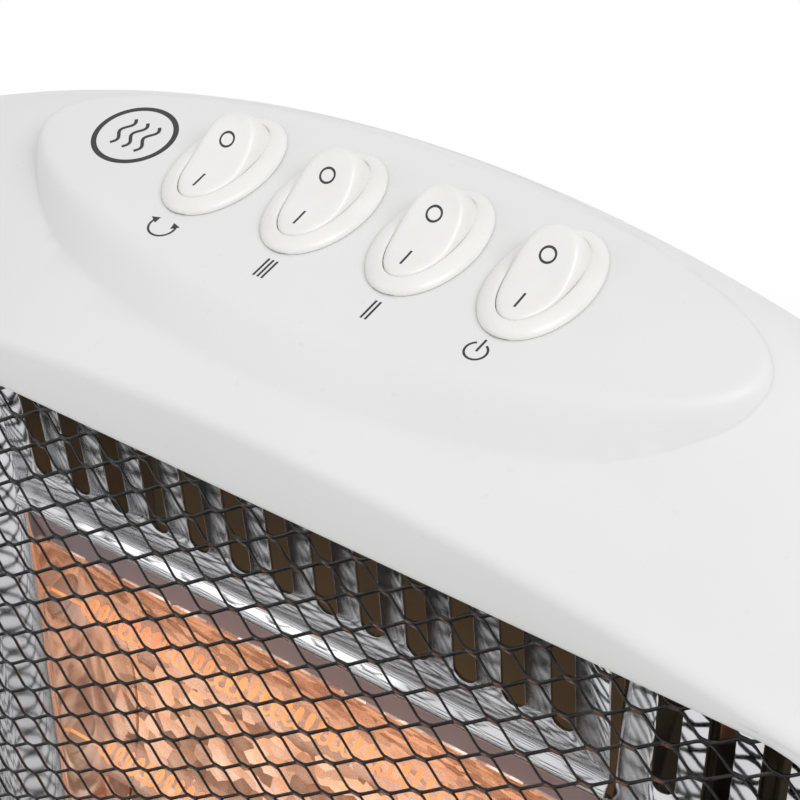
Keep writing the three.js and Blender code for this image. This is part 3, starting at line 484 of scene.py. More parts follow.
def moulding(name, colour):
    """Satin moulded plastic: faint cloudy colour, a very fine grain and slightly uneven gloss."""
    made, shader, place = finish_of(name, IOR=1.48)
    cloud = place.noise(14, 4)
    fine = place.noise(2600, 2)
    dust = place.noise(420, 1, 0.4).step(0.74, 0.80)
    feed(shader,
         Base_Color=(dust * 0.25).blend(cloud.step(0.3, 0.7).blend(tone(colour, 0.965), colour),
                                        tone(colour, 0.86)),
         Roughness=0.36 + cloud * 0.06 + fine * 0.05,
         Normal=fine.bump(0.00002, 0.35,
                          place.noise(55, 2).bump(0.0004, 0.08, place.soft_edges(0.0018))))
    return made


white_plastic = moulding("white_plastic", (0.80, 0.805, 0.80, 1))
dress(housing, white_plastic, "head", "housing", "front_housing", "control_panel")

# ---------------- switch bodies
# Four snap-in rocker switches of glossy warm white plastic. Each has an oval domed bezel over
# the box with its three blades, a well for the rocker, and a small nick over its latch.


def shifted(x, y, z):
    """A move in millimetres."""
    return Matrix.Translation(Vector((x, y, z)) * MM)


panel_place = shifted(*panel_middle) @ Matrix.Rotation(panel_lean, 4, "X")


def copied(piece, name, place):
    """A copy of a piece with its own mesh, put in its place."""
    other = piece.copy()
    other.data = piece.data.copy()
    other.name = other.data.name = name
    scene.collection.objects.link(other)
    other.data.transform(place)
    return other


def removed(*pieces):
    for piece in pieces:
        bpy.data.objects.remove(piece)


def block(name, size, middle, rounding=0.4, segments=2):
    """A block with bevelled edges; sizes in millimetres."""
    plain_selection()
    bpy.ops.mesh.primitive_cube_add(size=1, location=Vector(middle) * MM)
    piece = new_piece(name)
    mode("EDIT")
    bpy.ops.mesh.select_all(action="SELECT")
    bpy.ops.transform.resize(value=Vector(size) * MM, center_override=Vector(middle) * MM)
    bpy.ops.mesh.bevel(offset=rounding * MM, segments=segments)
    mode("OBJECT")
    return settled(piece)


def settled(piece):
    """Puts the place of a piece into its mesh."""
    alone(piece)
    bpy.ops.object.transform_apply(location=True, rotation=True, scale=True)
    return piece


bezel_levels = [
    (9.0, 15.0, -17), (9.2, 15.1, -16.6), (9.2, 15.1, 0.05), (10.05, 15.75, 0.05), (10.15, 15.85, 0.25),
    (10.1, 15.8, 0.6), (9.9, 15.6, 0.95), (9.5, 15.25, 1.3), (8.9, 14.75, 1.62), (8.2, 14.15, 1.88),
    (7.5, 13.55, 2.05), (6.85, 12.97, 2.14), (6.55, 12.7, 2.1), (6.4, 12.56, 1.95), (6.35, 12.5, 1.6),
    (6.35, 12.5, 1.1), (6.7, 13.4, 0.4), (6.7, 13.4, -8), (4.5, 9, -12)]
switch_body = drawn_out("switch_body", [oval(w, d, h, 0, 96) for w, d, h in bezel_levels])
cut(switch_body, block("nick", (5.8, 1.6, 0.5), (0.3, -16.1, 0.1), 0.1))
blades = [block("blade", (4.8, 0.8, 9), (0, y, -21)) for y in (-8, 0, 8)]
switch_body = smooth(joined("switch_body", switch_body, *blades), 40)


def switch_moulding():
    """Glossy warm white plastic with the faintest waviness of a hot mould."""
    made, shader, place = finish_of("switch_plastic", IOR=1.5)
    cloud = place.noise(90, 3)
    feed(shader,
         Base_Color=cloud.step(0.3, 0.7).blend((0.82, 0.815, 0.795, 1), (0.86, 0.855, 0.835, 1)),
         Roughness=0.26 + cloud * 0.08,
         Normal=place.noise(1900, 1).bump(
             0.00001, 0.25, place.noise(160, 1).bump(0.00015, 0.05, place.soft_edges(0.0003))))
    return made


switch_white = switch_moulding()
for number, x in enumerate(switch_places, 1):
    body = copied(switch_body, f"rocker_switch_{number}", panel_place @ shifted(x, 0, 0))
    dress(body, switch_white, "head", "switches", f"switch_body_{number}")
removed(switch_body)

# ---------------- rockers
# Each rocker has a hollowed oval face: its I half lies level with the bezel, and its O half rises
# at 33 degrees. It turns on two pins in the bezel. Its two marks are printed in black.


key_level, key_slope, key_bend, bend_y = 2.42, 0.65, 1.6, -2.5


def key_face(y):
    """Height of the rocker's face over the panel, along its length."""
    return key_level + key_slope * key_bend * math.log1p(math.exp((y - bend_y) / key_bend))


# Rings of a rocker: half width, half length, height where the face is level, share of the rise.
key_levels = [
    (6.25, 12.36, -2.6, 0), (6.3, 12.42, 0, 0), (6.3, 12.42, 1.2, 0.15), (6.26, 12.36, 1.6, 0.45),
    (6.16, 12.24, 1.86, 0.68), (5.98, 12.02, 2.08, 0.84), (5.7, 11.7, 2.25, 0.92),
    (5.35, 11.35, 2.34, 0.97), (5.0, 11.0, 2.4, 1), (4.4, 9.9, 2.42, 1), (3.5, 7.9, 2.42, 1),
    (2.5, 5.7, 2.42, 1), (1.6, 3.6, 2.42, 1), (0.8, 1.8, 2.42, 1), (0.3, 0.7, 2.42, 1)]
# The skirt is round about the pivot at the I end, so that its well stays closed when it rises.
key_skirt = [
    (3.9, 9.5, 5.2, -9.3), (4.3, 9.8, 5.6, -9.1), (5.6, 11.55, 9.3, -6.5), (6.1, 12.3, 11.4, -3.8)]
key_rings = [[Vector((p.x, p.y * (off_length / on_length if p.y > 0 else 1), height))
              for p in oval(half_width, on_length, height, 0, 96)]
             for half_width, on_length, off_length, height in key_skirt]
for half_width, half_length, height, share in key_levels:
    ring = []
    upper_end = circle(half_width, 0, 96, (0, 0), half_length / half_width, 2.5)
    lower_end = oval(half_width, half_length, 0, 0, 96)
    for p in upper_end[:48] + lower_end[48:]:
        y = p.y * (1 - 0.38 * share) if p.y > 0 else p.y
        ring.append(Vector((p.x, y, height + share * (key_face(y) - key_level))))
    key_rings.append(ring)
key = drawn_out("key", key_rings)
pins = turned("pins", [(1, -6.2), (1, 6.2)], 20, (0, 0, -1.9), "X")
key = smooth(joined("key", key, pins), 60)


def printed(name, path, width, height, closed=False):
    """A printed line: a thin flat strip of ink drawn along a path on a face."""
    rings = []
    for i, point in enumerate(path):
        before = path[i - 1] if closed or i else point
        after = path[(i + 1) % len(path)] if closed or i < len(path) - 1 else point
        along = Vector((after[0] - before[0], after[1] - before[1])).normalized()
        side = Vector((-along.y, along.x)) * width / 2
        ring = []
        for share, lift in ((-1, -0.01), (1, -0.01), (1, 0.03), (-1, 0.03)):
            x, y = point[0] + share * side.x, point[1] + share * side.y
            ring.append(Vector((x, y, height(y) + lift)))
        rings.append(ring)
    return drawn_out(name, rings, (not closed, not closed), closed)


def flush(y):
    return 0


def arc(middle, radius, start, end, steps=48):
    turns = [math.radians(start + (end - start) * i / steps) for i in range(steps + 1)]
    return [(middle[0] + radius * math.cos(a), middle[1] + radius * math.sin(a)) for a in turns]


def ink_of(name, colour):
    """Printing ink: thin, a little uneven in cover and gloss."""
    made, shader, place = finish_of(name)
    cover = place.noise(2200, 2)
    feed(shader, Base_Color=cover.step(0.3, 0.8).blend(colour, tone(colour, 2.2)),
         Roughness=0.42 + cover * 0.12, Normal=cover.bump(0.000015, 0.3))
    return made


dark_ink = ink_of("dark_ink", (0.016, 0.016, 0.016, 1))
off_mark = [(x, 2.2 + 0.84 * y) for x, y in arc((0, 0), 1.56, 0, 352.5, 47)]
on_mark = [(0, -9.55 + 3.85 * i / 8) for i in range(9)]
key_marks = joined("key_marks", printed("off_mark", off_mark, 0.42, key_face, True),
                   printed("on_mark", on_mark, 0.46, key_face))
for number, x in enumerate(switch_places, 1):
    place = panel_place @ shifted(x, 0, 0)
    rocker = f"rocker_{number}"
    dress(copied(key, f"rocker_key_{number}", place), switch_white, rocker, "switches", rocker)
    dress(copied(key_marks, f"rocker_marks_{number}", place), dark_ink, rocker, "switches")
removed(key, key_marks)

# ---------------- marks on the panel
# Pad-printed function marks below the switches: oscillation, three bars, two bars and power,
# and a bold ring with three heat waves at the left end of the panel.


def arrow_head(tip, left, right):
    corners = [Vector((*p, 0)) for p in (tip, left, right)]
    return drawn_out("arrow", [[c + Vector((0, 0, h)) for c in corners] for h in (0, 0.035)])


def wave(x):
    return [(x + 0.75 * math.sin(math.radians(360 * i / 16)), -4.2 + 8.4 * i / 24) for i in range(25)]


ink_marks = [printed("ring", arc((-61.4, -0.2), 8.6, 0, 357, 119), 1.15, flush, True)]
ink_marks += [printed("wave", [(px - 61.4, py - 0.2) for px, py in wave(x)], 0.75, flush)
              for x in (-3.2, 0, 3.2)]
ink_marks += [printed("bar", [(x, -22.9), (x + 0.05, -17.75)], 0.45, flush)
              for x in (-12.4, -11.42, -10.46, 12.66, 13.64)]
ink_marks.append(printed("power_ring", arc((36.15, -20.25), 2.17, 118, 422, 40), 0.45, flush))
ink_marks.append(printed("power_bar", [(36.2, -20.3), (36.3, -17.0)], 0.45, flush))
ink_marks.append(printed("swing", arc((-37.3, -19.95), 2.85, 160, 376, 36), 0.45, flush))
ink_marks.append(arrow_head((-39.3, -18.1), (-41.15, -18.65), (-39.35, -19.85)))
ink_marks.append(arrow_head((-35.75, -18.2), (-35.35, -19.95), (-33.9, -18.75)))
panel_marks = joined("panel_marks", *ink_marks)
panel_marks.data.transform(panel_place)
dress(panel_marks, ink_of("panel_ink", (0.012, 0.012, 0.012, 1)), "head", "housing")

# ---------------- guard
# Expanded steel with black stove enamel. The slit sheet is drawn out into strands that meet in
# short bonds, its ribbons lean forwards, and the net is pressed into a bulge and cut to the window.

opening_middle, opening_reach = (opening_low + opening_high) / 2, (opening_high - opening_low) / 2
cell, half_row, bond = 13.432, 3.833, 2.6
ribbon, gauge = 1.16, 0.55
first_bond, first_row = 23.003, 0.291
net_y, bulge = -52.95, 20
lean = math.radians(38)
ribbon_up, ribbon_out = math.cos(lean), math.sin(lean)


def guard_bulge(x, depth):
    """How far the net stands out, by the place across and the depth below the window's top edge."""
    across_share = min(abs(x) / opening_half, 1)
    down_share = min(abs(depth / opening_reach - 1), 1)
    return bulge * (1 - across_share ** 5) * (1 - down_share ** 1.55)


def strand_ring(x, down, out):
    """Section of a ribbon: a flat hexagon; Y holds how far it is out, Z how far down, negated."""
    ring = []
    for width, thick in ((0.5, 0), (0.34, 0.5), (-0.34, 0.5), (-0.5, 0), (-0.34, -0.5), (0.34, -0.5)):
        w, t = width * ribbon, thick * gauge
        ring.append(Vector((x, -(out + w * ribbon_out + t * ribbon_up),
                            -(down - w * ribbon_up + t * ribbon_out))))
    return ring


shift_down, shift_out = ribbon * ribbon_up / 2, ribbon * ribbon_out / 2
high, low = (shift_down, -shift_out), (half_row - shift_down, shift_out)
half_bond, half_cell = bond / 2, cell / 2
stations = [(0, 0), (half_bond - 0.35, 0), (half_bond + 0.45, 0.12), (half_cell - half_bond - 0.45, 0.88),
            (half_cell - half_bond + 0.35, 1)]
stations += [(cell - x, share) for x, share in stations[:0:-1]] + [(cell, 0)]
strand_rings = [strand_ring(x, *(h + share * (l - h) for h, l in zip(high, low))) for x, share in stations]
strand = drawn_out("net", strand_rings, (False, False))
modified(strand, "ARRAY", count=22, use_relative_offset=False, use_constant_offset=True,
         constant_offset_displace=(cell * MM, 0, 0), use_merge_vertices=True, merge_threshold=0.00002)
second = copied(strand, "net", Matrix.Translation((half_cell * MM, 0, -half_row * MM)))
net = joined("guard_net", strand, second)
modified(net, "ARRAY", count=34, use_relative_offset=False, use_constant_offset=True,
         constant_offset_displace=(0, 0, -2 * half_row * MM))
arc_table = [0.0]
for i in range(round(8 * opening_reach)):
    slope = (guard_bulge(0, (i + 1) / 4) - guard_bulge(0, i / 4)) * 4
    arc_table.append(arc_table[-1] + math.hypot(1, slope) / 4)


def depth_at(run):
    """Depth below the window's top edge after a run along the bulged net."""
    if run <= 0:
        return run
    if run >= arc_table[-1]:
        return 2 * opening_reach + run - arc_table[-1]
    low_i, high_i = 0, len(arc_table) - 1
    while high_i - low_i > 1:
        middle_i = (low_i + high_i) // 2
        low_i, high_i = (middle_i, high_i) if arc_table[middle_i] <= run else (low_i, middle_i)
    return (low_i + (run - arc_table[low_i]) / (arc_table[high_i] - arc_table[low_i])) / 4


start_x = first_bond - 11 * cell
start_run = first_row - half_row
for v in net.data.vertices:
    x, run, out = v.co.x / MM + start_x, -v.co.z / MM + start_run, -v.co.y / MM
    depth = depth_at(run)
    slope = guard_bulge(x, depth + 0.5) - guard_bulge(x, depth - 0.5)
    cosine = 1 / math.hypot(1, slope)
    v.co = MM * Vector((x, net_y - guard_bulge(x, depth) - out * cosine,
                        opening_high - depth + out * slope * cosine))


def beyond_window(x, z, grow):
    """Whether a place in the net's plane lies outside the grown outline of the window."""
    over_x = max(abs(x) - (opening_half - opening_corner), 0)
    over_z = max(abs(z - opening_middle) - (opening_reach - opening_corner), 0)
    return math.hypot(over_x, over_z) > opening_corner + grow


alone(net)
mode("EDIT")
choose(net, "VERT", lambda v: beyond_window(v.co.x / MM, v.co.z / MM, 2.2))
bpy.ops.mesh.delete(type="VERT")
bpy.ops.mesh.select_mode(type="VERT")
bpy.ops.mesh.select_all(action="DESELECT")
bpy.ops.mesh.select_non_manifold(extend=False, use_wire=False, use_boundary=True, use_multi_face=False,
                                 use_non_contiguous=False, use_verts=False)
bpy.ops.mesh.edge_face_add()
mode("OBJECT")
rim_section = [(-52.9, 0.6), (-52.9, 2.0), (-52.2, 2.0), (-52.2, 0.6)]
rim = drawn_out("rim", [opening_outline(y, grow) for y, grow in rim_section], (False, False), True)
guard = smooth(joined("guard_net", net, rim), 45)


def stove_enamel():
    """Gloss black enamel that has run a little thick at the bonds."""
    made, shader, place = finish_of("black_enamel", IOR=1.35, Coat_Roughness=0.05, Coat_IOR=1.3)
    run = place.noise(380, 2)
    dust = place.noise(1500, 1)
    feed(shader, Base_Color=run.step(0.35, 0.7).blend((0.006, 0.006, 0.007, 1), (0.014, 0.0135, 0.014, 1)),
         Roughness=0.16 + dust * 0.16, Coat_Weight=run.step(0.3, 0.7, 0.2, 0.5),
         Normal=run.bump(0.00025, 0.3))
    return made


dress(guard, stove_enamel(), "head", "guard", "guard")

# ---------------- rear housing
# A tub of the same white plastic, pressed against the front housing all round. Its back is flat,
# with air slots in three columns, the hole of the carry handle and four deep screw wells.

rear_top = 376.5
rear_falls = [(0, 0), (0.25, 9.5), (0.5, 19), (0.75, 28.5), (0.9, 33.5), (0.97, 36.5), (1, 40)]


def rear_outline(angle, inset=0):
    """Outline of the rear housing at a turn from 0 (parting line) to 90 degrees (flat back)."""
    share, draw = math.sin(math.radians(angle)), 1 - math.cos(math.radians(angle))
    fall = next(f0 + (share - s0) / (s1 - s0) * (f1 - f0)
                for (s0, f0), (s1, f1) in zip(rear_falls, rear_falls[1:]) if share <= s1 + 1e-9)
    half = head_half - 60 * draw
    return head_outline(half - inset, rear_top - fall - inset, 70 + 46 * draw + inset, half ** 2 / 550,
                        12 * half / head_half, 40.08 - 8.08 * draw - inset / 2,
                        18.3 + (43.7 - inset) * share)


def posts(name, profile, places, along="Z", segments=24):
    """Like turned pieces at several places, made one."""
    return joined(name, *(turned(name, profile, segments, place, along) for place in places))


rear_turns = [0, 6, 12, 20, 28, 36, 44, 52, 60, 67, 73, 78, 82, 85.5, 88, 90]
well_places = [(x, 0, z) for x, z in boss_places]
parting_groove = [moved_to(rear_outline(0, inset), y) for inset, y in ((0.25, 18.05), (0.12, 18.4), (0.05, 18.9))]
rear = drawn_out("rear_housing_shell", parting_groove + [rear_outline(a) for a in rear_turns[1:]])
wells = posts("wells", [(5.5, -2.1), (5.5, 70)], well_places, "Y")
modified(wells, "BOOLEAN", operation="INTERSECT", object=rear, solver="EXACT")
rear_hollow = drawn_out("hollow", [moved_to(rear_outline(0, wall), 17),
                                   *(rear_outline(a, wall) for a in rear_turns[::2] + [90])])
long_wells = posts("wells", [(5.5, -2.1), (5.5, 30)], well_places, "Y")


def rounded_box(half_width, low, high, radius, y, steps=8):
    points = []
    right, top, bottom = half_width - radius, high - radius, low + radius
    for cx, cz, start in ((right, top, 0), (-right, top, 90), (-right, bottom, 180), (right, bottom, 270)):
        for i in range(steps + 1):
            a = math.radians(start + 90 * i / steps)
            points.append(Vector((cx + radius * math.cos(a), y, cz + radius * math.sin(a))))
    return points


def cup_outline(grow, y, rounding=6):
    return rounded_box(54 + grow, 298 - grow, 326 + grow, max(rounding + grow, 1), y)


louvres = []
for z in (124, 134, 144, 154, 210, 220, 230):
    for x in (-40, 0, 40):
        outline = [p + Vector((x, 0, 0)) for p in rounded_box(17, z - 2, z + 2, 1.95, 0)]
        louvres.append(drawn_out("louvre", [moved_to(outline, 47), moved_to(outline, 70)]))
cut(rear, rear_hollow)
cut(rear, wells, long_wells, operation="UNION")
cut(rear, drawn_out("cup_hole", [cup_outline(3.4, 42), cup_outline(3.4, 82)]), joined("louvres", *louvres),
    posts("bores", [(1.8, -5), (1.8, 26), (3.6, 26), (3.6, 75)], well_places, "Y"),
    turned("notch", [(39.3, 60), (39.3, 85.5)], 72))
dress(smooth(rear, 38), white_plastic, "head", "housing", "rear_housing")

# ---------------- carry handle
# A deep cup of black plastic clipped into the back, with a thin flat rim and a smaller rounding
# at its bottom. It is textured all over.

cup_sections = [
    (0.2, 34.8, 4), (1.6, 35.2, 5), (2.2, 36.6, 6), (2.2, 62.3, 6), (4.6, 62.3, 6), (4.6, 62.9, 6),
    (4.3, 63.3, 6), (3.8, 63.5, 6), (0.9, 63.5, 6), (0.3, 63.3, 6), (0, 62.7, 6), (0, 39.5, 6),
    (-0.6, 37.9, 5), (-2.4, 37, 5)]
cup_rings = [cup_outline(grow, y, rounding) for grow, y, rounding in cup_sections]
cup = smooth(drawn_out("carry_handle", cup_rings), 40)


def textured_plastic(name, colour, roughness, grain, height):
    """Moulded plastic with a spark-eroded grain and faint cloudiness."""
    made, shader, place = finish_of(name)
    fine = place.noise(grain, 2)
    cloud = place.noise(30, 3)
    feed(shader, Base_Color=(cloud.step(0.3, 0.7) * 0.5 + fine.step(0.5, 0.8) * 0.3).blend(
             colour, tone(colour, 1.5, 0.004)),
         Roughness=roughness + fine * 0.18, Normal=fine.bump(height, 0.5, place.soft_edges(0.0004, 4)))
    return made


black_plastic = textured_plastic("black_plastic", (0.022, 0.022, 0.024, 1), 0.45, 1300, 0.00006)
dress(cup, black_plastic, "head", "black_plastic", "handle_cup")

# ---------------- case screws
# Zinc-plated pan-head screws with a cross recess. They are driven from the back, down the screw
# wells of the rear housing and into the bosses of the front housing.


def plated_steel():
    """Zinc plating: pale, faintly mottled and hazy, with fine turning marks."""
    made, shader, place = finish_of("zinc_plate", Metallic=0.95)
    mottle = place.noise(260, 4)
    marks = place.noise(900, 1, 0.5, (1, 1, 6))
    feed(shader, Base_Color=mottle.step(0.3, 0.75).blend((0.42, 0.44, 0.46, 1), (0.60, 0.61, 0.62, 1)),
         Roughness=0.26 + mottle * 0.22, Normal=marks.bump(0.00002, 0.3))
    return made


zinc = plated_steel()


def cross_screw(name, head, shank, length, head_height):
    """A pan-head screw standing on its tip, its head's face at height 0."""
    screw = turned(name, [(0.01, -length), (shank * 0.5, -length + 1.2), (shank, -length + 2.6),
                          (shank, -head_height), (head, -head_height), (head, -head_height * 0.55),
                          (head * 0.93, -head_height * 0.25), (head * 0.72, -0.08), (0.3, 0)], 32)
    return cut(screw, *(block("recess", (wide, deep, 1.6), (0, 0, -0.2), 0.12)
                        for wide, deep in ((head * 1.05, 0.75), (0.75, head * 1.05))))


case_screw = cross_screw("case_screw", 3.3, 1.5, 58, 1.9)
for number, (x, z) in enumerate(boss_places, 1):
    at = shifted(x, 28.3, z) @ Matrix.Rotation(-math.pi / 2, 4, "X")
    dress(smooth(copied(case_screw, f"back_screw_{number}", at)), zinc, "head", "plated_steel",
          f"case_screw_{number}")
removed(case_screw)

# ---------------- reflector
# Bright-dipped aluminium: slotted strips above and below, a rolled bead and a plain band with a
# painted reflection, and a hammered trough behind the tubes with a painted glow and painted
# reflection of them. The strips stand just behind the window's edge.


def bent_outline(line, thickness):
    """Both sides of a sheet bent along a line of pairs."""
    sides = [[], []]
    for i, p in enumerate(line):
        before, after = Vector(line[max(i - 1, 0)]), Vector(line[min(i + 1, len(line) - 1)])
        along = (after - before).normalized()
        normal = Vector((-along.y, along.x)) * thickness / 2
        sides[0].append(Vector(p) + normal)
        sides[1].insert(0, Vector(p) - normal)
    return sides[0] + sides[1]


slot_outer, slot_inner, slot_half, slot_pitch = 123, 92, 2.6, 10.94


def air_slot(x, up):
    """Tool for one slot, square towards the window's edge and round at its inner end."""
    outer, inner, half = opening_middle + up * slot_outer, opening_middle + up * slot_inner, slot_half
    points = [(x - half, outer), (x + half, outer)]
    points += [(x + half * math.cos(a), inner + up * (half - half * math.sin(a)))
               for a in (math.pi * i / 14 for i in range(15))]
    return drawn_out("air_slot", [[Vector((px, y, pz)) for px, pz in points] for y in (-56, -38)])


def sheet_edges(piece, rounding):
    """Rounds the edges of a sheet a little, and shades its bends smoothly."""
    modified(piece, "BEVEL", width=rounding * MM, segments=2, limit_method="ANGLE", angle_limit=math.radians(60))
    return smooth(piece, 45)


strip_line = [
    (-51.2, 344), (-47.1, 303), (-46.95, 301.6), (-47.5, 300.7), (-48.3, 300.1), (-48.75, 299.3),
    (-48.75, 298.4), (-48.2, 297.6), (-47.2, 297.1), (-46.3, 296.6), (-45.6, 295.6), (-40.9, 283.4),
    (-40.2, 282.4), (-38.9, 281.9)]
reflector_half, trough_half, trough_edge_y, trough_depth = 75.5, 64, -40.2, 22.7
facet_size, dent_depth = 4.3, 0.42
strips = []
for up in (1, -1):
    section = bent_outline([(y, opening_middle + up * (z - opening_middle)) for y, z in strip_line], 0.9)
    strips.append(drawn_out("strip", [[Vector((x, y, z)) for y, z in section]
                                      for x in (-reflector_half, reflector_half)]))
reflector = joined("reflector_strips", *strips)
cut(reflector, joined("air_slots", *(air_slot(slot_pitch * k, up) for k in range(-6, 7) for up in (1, -1))))
sheet_edges(reflector, 0.22)

plain_selection()
bpy.ops.mesh.primitive_grid_add(x_subdivisions=190, y_subdivisions=180, size=2)
trough = new_piece("reflector_trough")
for v in trough.data.vertices:
    x, z = v.co.x * reflector_half, v.co.y * trough_half
    bowl = trough_edge_y + trough_depth * (1 - (z / trough_half) ** 2)
    near = lattice_noise.voronoi(Vector((x / facet_size, z / facet_size + 40, 3.7)))[0]
    edge = min(1, (trough_half - abs(z)) / 3, (reflector_half - abs(x)) / 2)
    slope = -2 * trough_depth * z / trough_half ** 2
    cosine = 1 / math.hypot(1, slope)
    dent = dent_depth * edge * (near[0] ** 2 - 0.35)
    v.co = MM * Vector((x, bowl - dent * cosine, opening_middle + z + dent * slope * cosine))
modified(trough, "SOLIDIFY", thickness=0.0007, offset=1)
alone(trough)
mode("EDIT")
bpy.ops.mesh.select_all(action="SELECT")
bpy.ops.mesh.normals_make_consistent(inside=False)
mode("OBJECT")
trough = smooth(trough, 60)


def mirror_metal(name, dark, bright, roughness, hammer=0.0, reflection_share=0.0):
    """Bright-dipped aluminium, faintly hazed; its band has a painted reflection, and hammered, it has a painted glow
    and painted reflection of the tubes.
    """
    made, shader, place = finish_of(name, Metallic=0.8 if hammer else 1.0,
                                    Emission_Strength=1.0 if hammer else 0.0)
    haze = place.noise(700, 2)
    shade = place.noise(26, 3).step(0.3, 0.7)
    off_middle = (place.axis(2) - opening_middle * MM).sum("ABSOLUTE")
    # Painted reflection: a lavender grey painted on the plain band of the strips, which is also made matte.
    painted_reflection_band = off_middle.step(0.0625, 0.064) * off_middle.step(0.0772, 0.0785, reflection_share, 0.0)
    normal = place.noise(70, 1).bump(0.0002, 0.12)
    if hammer:
        pattern = {"feature": "F1"}, {"Vector": place, "Scale": 215.0}
        cells = place.node("ShaderNodeTexVoronoi", *pattern, 0)
        facet = place.node("ShaderNodeTexVoronoi", *pattern, 1).axis(0)
        normal = cells.bump(hammer, 0.7, normal)
        # Painted reflection of the tubes' glow: each facet goes from dark brown to pale pink, with a painted glint
        # lighter at its middle.
        shade = shade * 0.1 + facet.step(0.15, 0.85) * 0.8 + cells.step(0.15, 0.6, 0.15, 0.0)
        # Painted glow: orange emission on the trough, strongest at its middle and varied by facet.
        glow = off_middle.step(0.064, 0.0, 0.25, 1.0) * (0.22 + facet.step(0.1, 0.9) * 0.78)
        feed(shader, Emission_Color=glow.blend((0.02, 0.006, 0.002, 1), (0.62, 0.27, 0.115, 1)))
    feed(shader, Base_Color=(painted_reflection_band * 0.9).blend(shade.blend(dark, bright), (0.40, 0.385, 0.44, 1)),
         Roughness=roughness + haze * 0.06 + painted_reflection_band * 0.42, Normal=normal)
    return made


bright_dip = (0.56, 0.56, 0.575, 1), (0.72, 0.72, 0.73, 1), 0.09
dress(reflector, mirror_metal("bright_aluminium_painted_band", *bright_dip, reflection_share=1.0), "head", "reflector", "reflector")
# The trough's dark brown and pale pink stand in for the tubes' glow reflected in it: painted reflection.
dress(trough, mirror_metal("hammered_aluminium_painted_glow", (0.30, 0.17, 0.12, 1), (0.95, 0.80, 0.70, 1), 0.24, 0.0009),
      "head", "reflector")

# ---------------- end brackets
# Bent from the same bright sheet: a foot on the heat shield, a wall that carries the tubes, and
# a slotted wing out to the side of the window.

wall_line = [(92.3, -4.5), (78, -4.5), (76.9, -4.9), (76.3, -5.9), (76.3, -45.4), (76.6, -46.5),
             (77.5, -47.3), (85.2, -50.35), (86.6, -50.8), (88, -51.0), (131, -51.4)]
wing_slot, wing_pitch = 88.1, 10.3
tube_y, tube_heights = -38.5, (172, 218, 264)
bright_sheet = mirror_metal("bright_sheet", *bright_dip)
for side, word in ((-1, "left"), (1, "right")):
    outline = bent_outline([(side * x, y) for x, y in wall_line], 0.9)
    bracket = drawn_out(f"end_bracket_{word}", [[Vector((x, y, z)) for x, y in outline] for z in (94, 342)])
    reach = drawn_out("reach", [opening_outline(-61, 3), opening_outline(18, 3)])
    cut(bracket, reach, operation="INTERSECT")
    through = [(5.3, side * 70), (5.3, side * 84)][::side]
    cut(bracket, posts("tube_holes", through, [(0, tube_y, z) for z in tube_heights], "X", 32),
        joined("air_slots", *(air_slot(side * (wing_slot + wing_pitch * k), up) for k in range(4) for up in (1, -1))))
    dress(sheet_edges(bracket, 0.2), bright_sheet, "head", "reflector", f"bracket_{word}")

# ---------------- quartz tubes
# Three quartz tubes with a close coil of resistance wire in each. The ends sit in ceramic caps,
# which the walls of the end brackets carry.

tube_axis = Vector((0, tube_y, 0))
tube = smooth(turned("quartz", [(4, -90), (4.5, -90.15), (5, -89.6), (5, 89.6), (4.5, 90.15), (4, 90)], 48,
                     tube_axis, "X", True))
curls, per_curl, coil_radius, wire_radius = 44, 12, 2.35, 0.42
coil_half, tail_start, tail_end = 70, 82, 91.5
coil_path = [(-tail_end, 0, 0), (-tail_start, 0, 0)]
for i in range(curls * per_curl + 1):
    swell = min(1, i / per_curl, (curls * per_curl - i) / per_curl)
    coil_path.append((coil_half * (2 * i / (curls * per_curl) - 1), coil_radius * swell,
                      2 * math.pi * i / per_curl))
coil_path += [(tail_start, 0, 0), (tail_end, 0, 0)]
centres = [Vector((x, r * math.cos(a), r * math.sin(a))) for x, r, a in coil_path]
coil_rings = []
for i, centre in enumerate(centres):
    along = (centres[min(i + 1, len(centres) - 1)] - centres[max(i - 1, 0)]).normalized()
    out = Vector((0, math.cos(coil_path[i][2]), math.sin(coil_path[i][2])))
    out = (out - along * out.dot(along)).normalized()
    beside = along.cross(out)
    coil_rings.append([centre + tube_axis + wire_radius * (out * math.cos(a) + beside * math.sin(a))
                       for a in (k * math.pi / 3 for k in range(6))])
coil = smooth(drawn_out("coil", coil_rings), 80)
cap = smooth(turned("cap", [(5.3, 77.1), (6.5, 77.1), (6.8, 77.5), (6.8, 82.7), (6.5, 83.4), (5.9, 84),
                            (5.8, 84.6), (5.8, 95.7), (5.4, 96.1), (1, 96.1), (1, 90.5), (5.3, 90.5)], 48,
                    tube_axis, "X", True))


def quartz_glass():
    """Clear tube with a faint haze, lit from inside."""
    made, shader, place = finish_of("quartz_glass", IOR=1.46, Emission_Strength=0.12)
    haze = place.noise(120, 3)
    glow = place.noise(60, 2, 0.5, (0.5, 1, 1)).step(0.3, 0.7)
    feed(shader, Base_Color=haze.step(0.3, 0.7).blend((1.0, 0.90, 0.80, 1), (1.0, 0.95, 0.90, 1)),
         Roughness=0.04 + haze * 0.06, Alpha=haze.step(0.2, 0.8, 0.10, 0.18),
         Emission_Color=glow.blend((1.0, 0.26, 0.06, 1), (1.0, 0.40, 0.12, 1)))
    return made


def glowing_wire():
    """Resistance wire at a dull orange heat, uneven along its length."""
    made, shader, place = finish_of("glowing_wire", Emission_Strength=0.9)
    run = place.noise(90, 2)
    feed(shader, Base_Color=run.blend((0.5, 0.2, 0.08, 1), (0.7, 0.3, 0.12, 1)), Roughness=0.5 + run * 0.2,
         Emission_Color=run.step(0.3, 0.7).blend((1.0, 0.22, 0.03, 1), (1.0, 0.42, 0.10, 1)))
    return made


